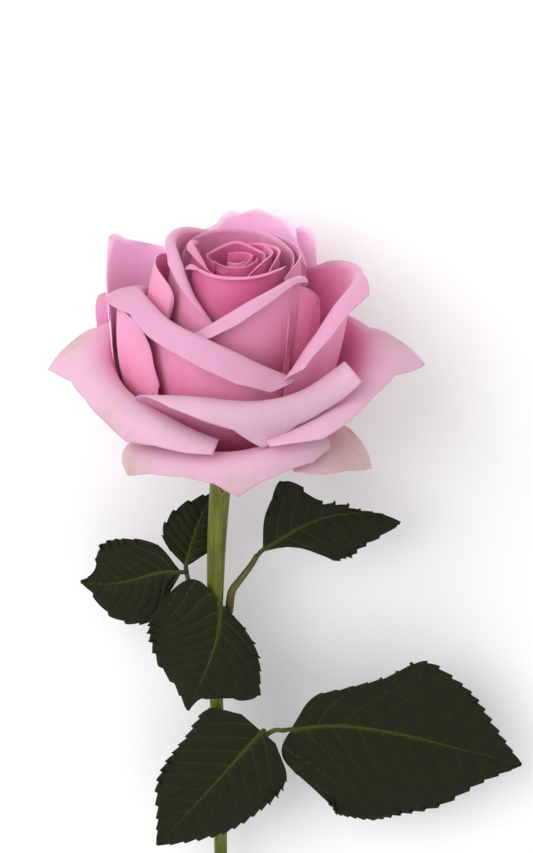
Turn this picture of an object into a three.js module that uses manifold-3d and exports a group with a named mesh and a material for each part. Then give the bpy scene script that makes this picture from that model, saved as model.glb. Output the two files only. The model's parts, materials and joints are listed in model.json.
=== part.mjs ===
// A cut garden rose laid on its back: an open hybrid-tea bloom, its hip and sepals,
// a bare straight stem with a slanting cut, and three short leaves.
// Millimetres, +Z up, the table is z = 0. The stem points to -Y, the bloom to +Y.
import * as THREE from "three";
import Module from "manifold-3d";

// ---- driving dimensions ------------------------------------------------------------
const BLOOM_SIZE = 1.0;        // scale of the whole flower head; 1 is 110 mm across
const STEM_LENGTH = 238;       // from the foot of the bloom to the cut
const STEM_RADIUS = 3.4;       // just under the hip
const STEM_END_RADIUS = 2.15;  // at the cut
const CUT_SLANT = 35;          // degrees the cut leans off square
const PETAL_THICKNESS = 0.5;
const LEAF_THICKNESS = 0.5;
const SEPAL_THICKNESS = 0.5;
const LEAF_SIZE = 1.0;         // scale of every leaflet about its foot
const GAP = 0.3;               // air between neighbouring pieces
const BLOOM_TILT = 12;         // degrees the bloom looks up from the table
const BLOOM_LEAN = 4;          // degrees it leans to +X
const BLOOM_HEIGHT = 39 * BLOOM_SIZE;   // from the table to the foot of the bloom
const HIP_TOP = -(PETAL_THICKNESS / 2 + 1.5 * GAP) / BLOOM_SIZE;   // up the bloom axis
const HIP_RADIUS = 9.7;        // at its rim
const HIP_LENGTH = 10.4;       // from the foot of the petals to the stem

// ---- small vector helpers ----------------------------------------------------------
const rad = (d) => (d * Math.PI) / 180;
const add = (a, b) => a.map((v, i) => v + b[i]);
const sub = (a, b) => a.map((v, i) => v - b[i]);
const mul = (a, k) => a.map((v) => v * k);
const dot = (a, b) => a[0] * b[0] + a[1] * b[1] + a[2] * b[2];
const unit = (a) => mul(a, 1 / (Math.hypot(...a) || 1));
const cross = (a, b) => [
  a[1] * b[2] - a[2] * b[1],
  a[2] * b[0] - a[0] * b[2],
  a[0] * b[1] - a[1] * b[0],
];
const lerp = (list, k) => {
  const i = Math.min(Math.floor(k), list.length - 2);
  return list[i] + (list[i + 1] - list[i]) * (k - i);
};

// Smooth curve through points of any size, at parameter k = 0 .. points.length - 1.
function curveAt(points, k) {
  const n = points.length - 1;
  const i = Math.min(Math.floor(k), n - 1);
  const u = k - i;
  const b = points[i];
  const c = points[i + 1];
  const a = i > 0 ? points[i - 1] : sub(mul(b, 2), c);
  const d = i < n - 1 ? points[i + 2] : sub(mul(c, 2), b);
  return b.map((_, j) => 0.5 * (2 * b[j] + (c[j] - a[j]) * u
    + (2 * a[j] - 5 * b[j] + 4 * c[j] - d[j]) * u * u
    + (3 * b[j] - a[j] - 3 * c[j] + d[j]) * u * u * u));
}

// ---- the bloom's own frame: x right, f to its front, z up its axis ------------------
const FRONT = [0, -Math.sin(rad(BLOOM_TILT)), Math.cos(rad(BLOOM_TILT))];
const UPRIGHT = [0, Math.cos(rad(BLOOM_TILT)), Math.sin(rad(BLOOM_TILT))];
const SIDE = [1, 0, 0];
const LEAN = rad(BLOOM_LEAN);
const ACROSS = sub(mul(SIDE, Math.cos(LEAN)), mul(UPRIGHT, Math.sin(LEAN)));
const ALONG = add(mul(UPRIGHT, Math.cos(LEAN)), mul(SIDE, Math.sin(LEAN)));
const FOOT = [0, 0, BLOOM_HEIGHT];
const fromBloom = ([x, f, z]) =>
  add(FOOT, mul(add(add(mul(ACROSS, x), mul(FRONT, f)), mul(ALONG, z)), BLOOM_SIZE));

// ---- petals ------------------------------------------------------------------------
// How a petal's side view swells between its foot and its crest: two control points,
// as fractions of the way out and of the way up.
const BUD = [[1, 0.05], [1.3, 0.55]];
const CUP = [[0.8, 0.05], [1.15, 0.55]];
const OPEN = [[0.85, 0.05], [0.86, 0.86]];
const FLAT = [[0.85, 0], [0.9, 1]];
const BOWL = [[0.8, 0.04], [1.04, 0.5]];
const TALL = [[0.85, 0.04], [0.95, 0.5]];

// Each petal: azimuth and radius of its foot, half width of its foot, side view, the
// radius its margin rolls on, how far it rolls (degrees, one value or one a station),
// and the stations of its crest: azimuth, radius, height, length of the rolled margin.
// Azimuth 0 is the front of the bloom and 90 its right side.
const PETALS = {
  heart_petal_1: {
    az: 20, rb: 1.0, half: 0.8, side: BUD, roll: 1.0, turn: 60,
    rim: [
      [-120, 1.7, 59.3, 0.3], [-50, 2.7, 60.3, 0.3], [20, 3.0, 60.6, 0.3], [80, 2.4, 60.4, 0.3],
    ],
  },
  heart_petal_2: {
    az: 150, rb: 1.7, half: 1.4, side: BUD, roll: 1.0, turn: 60,
    rim: [
      [-150, 5.0, 59.8, 0.3], [170, 5.2, 61.0, 0.4], [130, 5.0, 61.9, 0.4], [95, 4.6, 62.1, 0.4],
      [60, 4.3, 61.6, 0.4], [25, 4.4, 60.4, 0.3],
    ],
  },
  heart_petal_3: {
    az: -10, rb: 2.4, half: 1.8, side: BUD, roll: 0.8, turn: 110,
    rim: [
      [-100, 6.4, 60.0, 0.4], [-65, 7.0, 61.4, 0.6], [-25, 6.9, 60.5, 0.8], [15, 6.8, 60.3, 0.8],
      [50, 6.7, 61.6, 0.6], [80, 6.3, 62.0, 0.4],
    ],
  },
  heart_petal_4: {
    az: 180, rb: 3.0, half: 2.0, side: BUD, roll: 0.8, turn: 110,
    rim: [
      [-50, 8.5, 61.2, 0.4], [-95, 8.9, 61.4, 0.6], [-137, 9.0, 60.6, 0.8], [-160, 9.1, 60.6, 0.8],
      [178, 9.1, 61.2, 0.8], [150, 9.1, 61.2, 0.8], [125, 9.0, 61.4, 0.8], [100, 8.8, 61.8, 0.4],
    ],
  },
  heart_petal_5: {
    az: 60, rb: 3.6, half: 2.2, side: BUD, roll: 0.7, turn: 120,
    rim: [
      [125, 9.8, 62.3, 0.4], [95, 10.3, 63.2, 0.8], [66, 10.5, 64.0, 1.0], [45, 10.6, 63.4, 1.0],
      [25, 10.7, 61.3, 1.0], [8, 11.0, 58.4, 0.8], [-6, 11.2, 55.0, 0.4],
    ],
  },
  heart_petal_6: {
    az: 95, rb: 4.1, half: 2.4, side: BUD, roll: 0.7, turn: 120,
    rim: [
      [165, 11.5, 61.4, 0.4], [135, 11.9, 62.4, 1.0], [105, 12.2, 63.3, 1.0], [76, 12.4, 63.4, 1.0],
      [56, 12.5, 62.0, 1.0], [46, 12.8, 59.5, 1.0], [36, 13.0, 55.5, 0.4],
    ],
  },
  curled_heart_petal: {
    az: -45, rb: 4.6, half: 2.6, side: BUD, roll: 1.0, turn: 110,
    rim: [
      [-112, 12.6, 63.0, 1.0], [-88, 13.0, 64.6, 2.0], [-66, 13.2, 65.2, 3.6], [-50, 13.3, 63.4, 2.6],
      [-38, 13.4, 61.0, 1.4], [-24, 13.5, 59.6, 1.0], [0, 13.6, 58.6, 0.8], [25, 13.6, 58.0, 0.4],
    ],
  },
  front_heart_petal: {
    az: 0, rb: 5.1, half: 3.0, side: BUD, roll: 1.1, turn: 140,
    rim: [
      [-60, 16.4, 47.0, 0.4], [-54, 16.0, 53.0, 0.6], [-50, 15.8, 58.4, 1.0], [-53, 15.7, 61.6, 4.2],
      [-42, 15.7, 61.4, 2.4], [-26, 15.8, 61.0, 2.6], [4, 15.9, 61.6, 2.8], [30, 15.9, 62.4, 2.6],
      [50, 15.7, 62.4, 2.2], [68, 15.4, 61.4, 1.0], [80, 15.2, 58.0, 0.4],
    ],
  },
  inner_petal_back: {
    az: 180, rb: 5.5, half: 3.0, side: BUD, roll: 1.6, turn: 110,
    rim: [
      [72, 17.0, 61.0, 0.5], [95, 16.9, 61.4, 1.0], [125, 17.0, 61.6, 1.4], [150, 17.0, 62.4, 1.6],
      [172, 17.0, 62.2, 1.6], [-167, 17.0, 62.0, 1.6], [-145, 17.0, 61.6, 1.4], [-120, 16.8, 60.6, 1.0],
      [-100, 16.4, 58.5, 0.5],
    ],
  },
  inner_petal_right: {
    az: 120, rb: 5.9, half: 3.0, side: BUD, roll: 1.8, turn: 110,
    rim: [
      [195, 18.8, 58.0, 0.6], [172, 19.2, 60.0, 1.2], [148, 19.2, 61.6, 1.4], [122, 19.0, 62.4, 1.4],
      [96, 18.8, 62.8, 1.4], [72, 18.6, 63.0, 1.4], [52, 18.4, 60.4, 0.6],
    ],
  },
  rolled_petal_left: {
    az: -85, rb: 6.3, half: 3.0, side: BUD, roll: 1.4, turn: 140,
    rim: [
      [-172, 20.3, 57.4, 1.0], [-152, 20.2, 60.4, 2.6], [-128, 19.8, 62.6, 2.6],
      [-100, 18.9, 64.0, 3.2], [-76, 18.3, 64.6, 4.6], [-61, 18.4, 62.8, 6.0], [-50, 18.8, 58.8, 5.2],
      [-40, 19.1, 54.6, 4.2], [-27, 19.4, 50.4, 3.2], [-14, 19.8, 46.4, 2.0], [-2, 20.0, 42.0, 0.6],
    ],
  },
  tucked_petal_right: {
    az: 75, rb: 6.6, half: 3.0, side: CUP, roll: 2.0, turn: 90,
    rim: [
      [130, 24.4, 38.0, 0.5], [112, 25.2, 42.0, 0.7], [94, 25.8, 46.0, 0.8], [79, 25.6, 51.0, 0.9],
      [69, 24.6, 55.0, 1.0], [61, 22.8, 57.4, 1.0], [53, 20.8, 57.4, 0.8], [44, 20.2, 53.0, 0.5],
    ],
  },
  rolled_petal_right: {
    az: 20, rb: 7.0, half: 3.2, side: CUP, roll: 1.4,
    turn: [60, 60, 60, 90, 120, 150, 150, 145, 140, 140, 140, 140, 140],
    rim: [
      [56, 21.6, 22.0, 0.4], [51, 22.2, 32.0, 0.4], [49, 22.4, 42.0, 0.5], [46, 22.4, 51.0, 0.6],
      [48, 22.2, 57.0, 1.6], [57, 21.8, 60.6, 5.0], [46, 21.8, 62.0, 4.4], [33, 21.8, 60.6, 4.8],
      [17, 22.0, 57.6, 5.8], [1, 22.3, 53.4, 6.6], [-15, 22.7, 48.8, 7.0], [-29, 23.1, 44.0, 6.2],
      [-42, 23.2, 39.2, 2.0],
    ],
  },
  tucked_petal_left: {
    az: -85, rb: 6.9, half: 3.0, side: BUD, roll: 2.0, turn: 90,
    rim: [
      [-130, 22.8, 54.0, 0.6], [-108, 23.6, 57.2, 0.8], [-86, 24.0, 58.6, 0.9], [-67, 24.0, 58.0, 0.9],
      [-55, 23.6, 55.4, 0.8], [-52, 23.4, 50.6, 0.6], [-54, 23.8, 44.0, 0.5],
    ],
  },
  standing_petal_back: {
    az: 172, rb: 7.2, half: 3.2, side: CUP, roll: 3.0, turn: 60,
    rim: [
      [-128, 27.4, 51.0, 0.8], [-146, 27.8, 55.6, 1.2], [-166, 28.0, 58.4, 1.2],
      [-175, 28.2, 62.2, 2.2], [178, 28.2, 62.6, 1.2], [168, 28.2, 63.8, 2.0], [158, 28.0, 63.6, 1.2],
      [146, 27.7, 62.0, 2.4], [139, 27.6, 57.6, 1.2], [128, 27.4, 52.0, 0.8],
    ],
  },
  sash_petal: {
    az: -35, rb: 7.4, half: 3.4, side: CUP, roll: 2.2,
    turn: [90, 100, 110, 130, 145, 145, 145, 145, 145, 145],
    rim: [
      [-106, 27.0, 44.0, 2.0], [-92, 27.2, 46.4, 7.0], [-76, 27.2, 49.2, 14.0], [-60, 27.3, 49.4, 10.0],
      [-43, 27.6, 48.0, 11.0], [-26, 28.0, 46.8, 11.5], [-10, 28.2, 44.6, 12.4], [6, 28.5, 41.4, 13.0],
      [22, 29.0, 37.0, 11.5], [36, 29.6, 32.4, 4.0],
    ],
  },
  wing_petal_right: {
    az: 85, rb: 7.6, half: 3.4, side: TALL, roll: 3.2,
    turn: [40, 40, 40, 50, 60, 90, 110, 120, 120, 120],
    rim: [
      [142, 30.4, 45.0, 1.0], [127, 31.8, 50.6, 1.6], [112, 33.4, 54.6, 2.4], [97, 34.4, 56.4, 4.0],
      [82, 34.8, 57.6, 5.0], [67, 35.0, 57.4, 9.4], [57, 34.6, 54.8, 8.0], [47, 33.8, 48.4, 8.0],
      [39, 32.4, 40.8, 7.6], [31, 31.4, 33.4, 2.6],
    ],
  },
  cup_petal_left: {
    az: -80, rb: 7.6, half: 3.4, side: BOWL, roll: 3.0, turn: 90,
    rim: [
      [-122, 31.6, 41.0, 0.6], [-106, 33.0, 44.6, 0.8], [-89, 34.4, 46.4, 0.8], [-72, 34.8, 47.0, 0.8],
      [-58, 33.8, 46.4, 0.8], [-50, 32.6, 41.4, 0.8], [-46, 31.8, 35.0, 0.6], [-42, 30.8, 28.6, 0.4],
    ],
  },
  standing_petal_left: {
    az: -115, rb: 8.0, half: 3.4, side: TALL, roll: 3.0, turn: 60,
    rim: [
      [-158, 31.0, 45.6, 0.8], [-144, 32.6, 50.0, 1.0], [-130, 35.4, 53.0, 1.2],
      [-118, 38.0, 55.6, 1.6], [-110, 39.2, 57.6, 3.0], [-101, 38.6, 53.0, 2.2], [-91, 37.4, 46.6, 1.8],
      [-84, 36.8, 40.0, 1.0],
    ],
  },
  standing_petal_back_right: {
    az: 150, rb: 7.6, half: 3.4, side: TALL, roll: 4.0, turn: 50,
    rim: [
      [174, 29.2, 49.0, 0.8], [162, 30.4, 55.0, 1.0], [150, 31.8, 57.0, 1.2], [140, 33.0, 59.4, 2.4],
      [133, 33.0, 50.6, 1.4], [126, 33.0, 44.0, 0.8],
    ],
  },
  lip_petal_front: {
    az: 5, rb: 8.2, half: 3.6, side: OPEN, roll: 5,
    turn: [100, 130, 145, 150, 150, 145, 145, 135, 125, 100],
    rim: [
      [-46, 38.4, 25.4, 0.6], [-36, 37.2, 29.2, 4.0], [-24, 36.3, 31.2, 8.5], [-12, 35.7, 31.7, 11.0],
      [2, 35.3, 31.2, 13.0], [14, 35.3, 31.2, 19.5], [27, 35.6, 32.0, 13.5], [38, 36.4, 33.8, 12.0],
      [47, 38.2, 37.2, 12.0], [54, 41.0, 41.4, 11.0],
    ],
  },
  wide_petal_left: {
    az: -50, rb: 8.4, half: 3.6, side: OPEN, roll: 7,
    turn: [70, 74, 82, 88, 94, 102, 118, 128, 130, 130, 130, 130],
    rim: [
      [-120, 35.2, 33.8, 0.6], [-108, 35.8, 32.8, 0.8], [-98, 36.4, 31.0, 5.0], [-93, 36.5, 30.1, 12.5], [-88, 36.6, 29.2, 23.5],
      [-75, 36.4, 27.0, 15.4], [-62, 36.2, 25.8, 14.2], [-48, 36.3, 25.1, 15.0],
      [-36, 36.6, 24.4, 17.4], [-24, 37.0, 23.4, 14.0], [-12, 37.7, 22.0, 12.0], [-3, 38.4, 20.6, 9.5],
    ],
  },
  wide_petal_right: {
    az: 65, rb: 8.4, half: 3.6, side: OPEN, roll: 7.5,
    turn: [70, 70, 74, 76, 78, 100, 115, 125, 130, 130],
    rim: [
      [122, 36.0, 38.8, 0.8], [108, 37.4, 38.2, 1.0], [95, 39.0, 37.2, 3.8], [89, 39.8, 36.4, 10.5], [83, 40.6, 35.6, 21.0],
      [71, 41.4, 33.8, 11.5], [58, 41.8, 31.4, 9.6], [46, 42.0, 29.0, 10.0], [33, 41.8, 26.2, 10.6],
      [16, 41.0, 22.2, 6.5],
    ],
  },
  guard_petal_front: {
    az: -5, rb: 8.6, half: 3.6, side: FLAT, roll: 6.0, turn: 80,
    rim: [
      [-46, 37.6, 11.4, 2.4], [-38, 40.2, 13.4, 10.8], [-28, 41.0, 15.4, 9.2], [-15, 41.2, 16.8, 8.9],
      [-4, 41.2, 17.4, 10.2], [3, 41.2, 18.0, 14.4], [11, 41.2, 19.2, 11.2], [22, 41.2, 21.0, 9.8],
      [33, 41.2, 22.2, 9.9], [43, 41.2, 21.0, 6.2],
    ],
  },
  guard_petal_right: {
    az: 55, rb: 8.6, half: 3.4, side: FLAT, roll: 14.0, turn: 55,
    rim: [
      [80, 32.0, 13.0, 0.8], [69, 34.4, 15.4, 1.0], [63, 36.0, 15.9, 7.0], [57, 37.6, 16.4, 17.5], [47, 38.0, 16.0, 13.6],
      [37, 38.0, 15.2, 11.4], [27, 37.6, 14.0, 7.6],
    ],
  },
  tip_petal_left: {
    az: -125, rb: 8.4, half: 3.4, side: OPEN, roll: 8, turn: 80,
    rim: [
      [-155, 35.6, 27.0, 1.4], [-141, 37.4, 30.6, 2.0], [-128, 39.2, 33.4, 2.4],
      [-116, 40.6, 34.4, 6.0], [-105, 40.0, 31.0, 2.6], [-95, 38.6, 26.0, 1.2],
    ],
  },
  back_petal_upper: {
    az: 178, rb: 8.2, half: 3.4, side: OPEN, roll: 5, turn: 125,
    rim: [
      [142, 35.0, 34.5, 2.0], [155, 36.5, 38.5, 8.0], [168, 37.0, 40.5, 10.0], [180, 37.0, 41.0, 14.0],
      [-168, 37.0, 40.5, 10.0], [-155, 36.5, 38.5, 8.0], [-142, 35.0, 34.5, 2.0],
    ],
  },
  back_petal_right: {
    az: 140, rb: 8.5, half: 3.4, side: OPEN, roll: 7.5, turn: 105,
    rim: [
      [104, 36.0, 21.8, 2.0], [118, 38.0, 24.2, 9.0], [131, 39.0, 24.8, 12.0], [144, 39.4, 24.2, 11.0],
      [156, 39.2, 23.8, 11.6], [170, 38.0, 19.8, 3.0],
    ],
  },
  back_petal_left: {
    az: -155, rb: 8.7, half: 3.4, side: FLAT, roll: 9.0, turn: 75,
    rim: [
      [-190, 36.0, 18.0, 2.0], [-176, 38.0, 20.6, 6.0], [-164, 39.0, 22.0, 9.0],
      [-152, 39.4, 22.4, 14.4], [-138, 39.0, 21.6, 11.0], [-124, 38.0, 19.0, 3.0],
    ],
  },
  guard_petal_left: {
    az: -95, rb: 8.8, half: 3.4, side: FLAT, roll: 10.0, turn: 60,
    rim: [
      [-124, 32.0, 10.0, 2.0], [-110, 33.6, 12.0, 6.0], [-96, 34.0, 13.0, 8.0], [-82, 33.6, 12.6, 6.0],
      [-68, 32.6, 11.0, 2.0],
    ],
  },
};

// The middle surface of a petal as a grid of bloom points: one row a station and a
// halfway row where asked, running from the foot up to the crest and round the roll.
function petalGrid(p, perSpan, bodySteps, rollSteps) {
  const [a1, c1] = p.side[0];
  const [a2, c2] = p.side[1];
  const rim = p.rim.map((s) => s.slice());
  for (let i = 1; i < rim.length; i++) {
    while (rim[i][0] - rim[i - 1][0] > 180) rim[i][0] -= 360;
    while (rim[i][0] - rim[i - 1][0] < -180) rim[i][0] += 360;
  }
  const spans = rim.length - 1;
  const turns = Array.isArray(p.turn) ? p.turn : rim.map(() => p.turn);
  const mean = rim.reduce((t, s) => t + s[0], 0) / rim.length;
  const foot = p.az + 360 * Math.round((mean - p.az) / 360);
  const way = rim[spans][0] > rim[0][0] ? 1 : -1;
  const columns = [];
  const rises = [];
  for (let i = 0; i <= spans * perSpan; i++) {
    const k = i / perSpan;
    const [az, r, z] = curveAt(rim, k);
    const footAz = foot + way * (k / spans - 0.5) * 2 * ((p.half / p.rb) * 180) / Math.PI;
    const column = [];
    for (let j = 0; j <= bodySteps; j++) {
      const t = j / bodySteps;
      const b1 = 3 * t * (1 - t) ** 2;
      const b2 = 3 * t * t * (1 - t);
      const b3 = t ** 3;
      const out = p.rb + (r - p.rb) * (a1 * b1 + a2 * b2 + b3);
      const a = rad(footAz + (az - footAz) * (1 - (1 - t) ** 2.2));
      column.push([out * Math.sin(a), out * Math.cos(a), z * (c1 * b1 + c2 * b2 + b3)]);
    }
    columns.push(column);
    const outRise = (r - p.rb) * (1 - a2);
    rises.push([outRise * Math.sin(rad(az)), outRise * Math.cos(rad(az)), z * (1 - c2)]);
  }
  rollMargin(columns, rises, rim, turns, p.roll, perSpan, rollSteps);
  return columns;
}

// Adds the rolled margin beyond the crest, square to it, curling outward.
function rollMargin(columns, rises, rim, turns, roll, perSpan, steps) {
  const last = columns.length - 1;
  const crest = columns.map((c) => c[c.length - 1]);
  const frames = columns.map((c, i) => {
    const along = unit(sub(crest[Math.min(i + 1, last)], crest[Math.max(i - 1, 0)]));
    const on = unit(sub(rises[i], mul(along, dot(rises[i], along))));
    return { on, out: cross(on, along) };
  });
  // A petal's outer side looks outward where it stands and down where it lies flat.
  const facing = frames.reduce((t, f, i) => {
    const [x, y] = crest[i];
    return t + dot(f.out, [x, y, -Math.hypot(x, y)]);
  }, 0);
  columns.forEach((column, i) => {
    const k = i / perSpan;
    const reach = Math.max(lerp(rim.map((s) => s[3]), k), 0.02);
    const turn = rad(lerp(turns, k));
    const out = mul(frames[i].out, facing < 0 ? -1 : 1);
    for (let j = 1; j <= steps; j++) {
      const l = (reach * j) / steps;
      const bend = Math.min(l / roll, turn);
      const rest = Math.max(l - roll * turn, 0);
      const on = roll * Math.sin(bend) + rest * Math.cos(turn);
      const off = roll * (1 - Math.cos(bend)) + rest * Math.sin(turn);
      column.push(add(crest[i], add(mul(frames[i].on, on), mul(out, off))));
    }
  });
}

// ---- closed solids -----------------------------------------------------------------
// A sheet of even thickness about a grid of points.
function sheet(grid, thickness) {
  const rows = grid.length;
  const cols = grid[0].length;
  const at = (i, j) => grid[Math.min(Math.max(i, 0), rows - 1)][Math.min(Math.max(j, 0), cols - 1)];
  const verts = [];
  for (const face of [1, -1]) {
    for (let i = 0; i < rows; i++) {
      for (let j = 0; j < cols; j++) {
        const n = unit(cross(sub(at(i + 1, j), at(i - 1, j)), sub(at(i, j + 1), at(i, j - 1))));
        verts.push(add(at(i, j), mul(n, (face * thickness) / 2)));
      }
    }
  }
  const id = (f, i, j) => f * rows * cols + i * cols + j;
  const tris = [];
  const quad = (a, b, c, d) => tris.push([a, b, c], [a, c, d]);
  for (let i = 0; i < rows - 1; i++) {
    for (let j = 0; j < cols - 1; j++) {
      quad(id(0, i, j), id(0, i + 1, j), id(0, i + 1, j + 1), id(0, i, j + 1));
      quad(id(1, i, j + 1), id(1, i + 1, j + 1), id(1, i + 1, j), id(1, i, j));
    }
    quad(id(0, i + 1, 0), id(0, i, 0), id(1, i, 0), id(1, i + 1, 0));
    quad(id(0, i, cols - 1), id(0, i + 1, cols - 1), id(1, i + 1, cols - 1), id(1, i, cols - 1));
  }
  for (let j = 0; j < cols - 1; j++) {
    quad(id(0, 0, j), id(0, 0, j + 1), id(1, 0, j + 1), id(1, 0, j));
    quad(id(0, rows - 1, j + 1), id(0, rows - 1, j), id(1, rows - 1, j), id(1, rows - 1, j + 1));
  }
  return outward({ verts, tris });
}

// The same grid reaching a little further at its crest and both sides.
function widened(grid, by) {
  const reach = (p, q) => add(p, mul(unit(sub(p, q)), by));
  const wide = grid.map((c) => {
    const end = c.length - 1;
    return [...c.slice(0, end), reach(c[end], c[end - 1])];
  });
  const last = wide.length - 1;
  const first = wide[0].map((p, j) => reach(p, wide[1][j]));
  const final = wide[last].map((p, j) => reach(p, wide[last - 1][j]));
  return [first, ...wide.slice(1, last), final];
}

// A round rod through points, with a radius at each.
function rod(points, radii, sides, endSlant = 0) {
  const verts = [];
  points.forEach((p, i) => {
    const along = unit(sub(points[Math.min(i + 1, points.length - 1)], points[Math.max(i - 1, 0)]));
    const x = unit(cross(along, [0, 0, 1]));
    const y = cross(x, along);
    for (let s = 0; s < sides; s++) {
      const a = (2 * Math.PI * s) / sides;
      const slide = i === points.length - 1 ? Math.tan(rad(endSlant)) * radii[i] * Math.sin(a) : 0;
      const off = add(mul(x, radii[i] * Math.cos(a)), mul(y, radii[i] * Math.sin(a)));
      verts.push(add(add(p, off), mul(along, slide)));
    }
  });
  const tris = [];
  for (let i = 0; i < points.length - 1; i++) {
    for (let s = 0; s < sides; s++) {
      const a = i * sides + s;
      const b = i * sides + ((s + 1) % sides);
      tris.push([a, b, b + sides], [a, b + sides, a + sides]);
    }
  }
  const end = (points.length - 1) * sides;
  for (let s = 1; s < sides - 1; s++) {
    tris.push([0, s + 1, s], [end, end + s, end + s + 1]);
  }
  return outward({ verts, tris });
}

// Turns the faces the right way round if the solid came out inside out.
function outward(solid) {
  const volume = solid.tris.reduce((t, [a, b, c]) =>
    t + dot(solid.verts[a], cross(solid.verts[b], solid.verts[c])), 0);
  if (volume < 0) solid.tris = solid.tris.map(([a, b, c]) => [a, c, b]);
  return solid;
}

// ---- cutting and joining -------------------------------------------------------------
const wasm = await Module();
wasm.setup();
const { Manifold, Mesh } = wasm;

function toManifold({ verts, tris }) {
  return new Manifold(new Mesh({
    numProp: 3,
    vertProperties: new Float32Array(verts.flat()),
    triVerts: new Uint32Array(tris.flat()),
  }));
}

function fromManifold(manifold) {
  const mesh = manifold.getMesh();
  const verts = [];
  for (let i = 0; i < mesh.numVert; i++) {
    verts.push(Array.from(mesh.vertProperties.subarray(i * mesh.numProp, i * mesh.numProp + 3)));
  }
  const tris = [];
  for (let i = 0; i < mesh.numTri; i++) {
    tris.push(Array.from(mesh.triVerts.subarray(3 * i, 3 * i + 3)));
  }
  return { verts, tris };
}

// The largest body left of a cut piece.
function largest(manifold) {
  return manifold.decompose().reduce((a, b) => (a.volume() >= b.volume() ? a : b));
}

// ---- finishes ------------------------------------------------------------------------
const finish = (color, roughness) =>
  new THREE.MeshStandardMaterial({ color, roughness, metalness: 0 });
const PINK = finish(0xeb9fc3, 0.6);
const PALE_PINK = finish(0xf1bcd6, 0.6);
const DEEP_PINK = finish(0xe27fac, 0.6);
const LEAF_GREEN = finish(0x263316, 0.5);
const STEM_GREEN = finish(0x6b7a24, 0.5);
const PETIOLE_GREEN = finish(0x5a5a28, 0.5);

const rose = new THREE.Group();
rose.name = "cut_rose";

function place(name, solid, material) {
  const geometry = new THREE.BufferGeometry();
  geometry.setAttribute("position", new THREE.Float32BufferAttribute(solid.verts.flat(), 3));
  geometry.setIndex(solid.tris.flat());
  const mesh = new THREE.Mesh(geometry, material);
  mesh.name = name;
  rose.add(mesh);
}

// ---- the bloom -----------------------------------------------------------------------
// Petals are made from the heart outward. Where one would touch a petal further in, it
// is trimmed back to leave a thin gap of air.
const finishOf = (name) => {
  if (name.includes("heart")) return DEEP_PINK;
  return name.includes("guard") || name.includes("wide") || name.includes("lip") ? PALE_PINK : PINK;
};
const made = [];
for (const [name, p] of Object.entries(PETALS)) {
  const outer = p.rb > 7;
  const grid = petalGrid(p, 1, outer ? 5 : 4, outer ? 3 : 2).map((c) => c.map(fromBloom));
  let petal = toManifold(sheet(grid, PETAL_THICKNESS));
  for (const inner of made) {
    if (inner.room.intersect(petal).volume() > 0.001) petal = largest(petal.subtract(inner.room));
  }
  made.push({ room: toManifold(sheet(widened(grid, GAP), PETAL_THICKNESS + 2 * GAP)) });
  place(name, fromManifold(petal), finishOf(name));
}

// ---- hip and sepals --------------------------------------------------------------------
const HIP_SIDES = 24;
const HIP_PROFILE = [
  [0.01, HIP_TOP], [HIP_RADIUS - 0.3, HIP_TOP], [HIP_RADIUS, -1.6], [8.6, -4.2], [6.2, -7.6],
  [4.0, -HIP_LENGTH], [0.01, -HIP_LENGTH],
];

// A closed solid of revolution about the bloom axis, its profile starting and ending on it.
function lathe(profile, sides) {
  const verts = [];
  for (let s = 0; s < sides; s++) {
    const a = (2 * Math.PI * s) / sides;
    for (const [r, z] of profile.slice(1, -1)) verts.push([r * Math.sin(a), r * Math.cos(a), z]);
  }
  const rings = profile.length - 2;
  const top = verts.push([0, 0, profile[0][1]]) - 1;
  const bottom = verts.push([0, 0, profile[profile.length - 1][1]]) - 1;
  const tris = [];
  for (let s = 0; s < sides; s++) {
    const a = s * rings;
    const b = ((s + 1) % sides) * rings;
    tris.push([top, b, a], [bottom, a + rings - 1, b + rings - 1]);
    for (let j = 0; j < rings - 1; j++) {
      tris.push([a + j, b + j, b + j + 1], [a + j, b + j + 1, a + j + 1]);
    }
  }
  return outward({ verts: verts.map(fromBloom), tris });
}
place("receptacle", lathe(HIP_PROFILE, HIP_SIDES), STEM_GREEN);

// Sepals stand out flat under the lowest petals, from just below the rim of the hip.
const SEPALS = 5;
const SEPAL_TURN = 0;           // azimuth of the first sepal
const SEPAL_LIFT = 0.5;         // of a sepal's edges above its middle
const SEPAL_WIDTHS = [2.4, 3.4, 3.6, 2.9, 1.8, 0.5];
const SEPAL_PATH = [
  [HIP_RADIUS + 0.5, -2.2], [14.5, -2.6], [18.5, -2.2], [22.5, -1.6], [26, -1.8], [29.5, -3],
];
for (let s = 0; s < SEPALS; s++) {
  const a = rad(SEPAL_TURN + (360 * s) / SEPALS);
  const grid = SEPAL_PATH.map(([r, z], i) => [-1, 0, 1].map((v) => {
    const w = v * SEPAL_WIDTHS[i];
    return fromBloom([
      r * Math.sin(a) + w * Math.cos(a),
      r * Math.cos(a) - w * Math.sin(a),
      z + Math.abs(v) * SEPAL_LIFT,
    ]);
  }));
  place(`sepal_${s + 1}`, sheet(grid, SEPAL_THICKNESS), STEM_GREEN);
}

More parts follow.
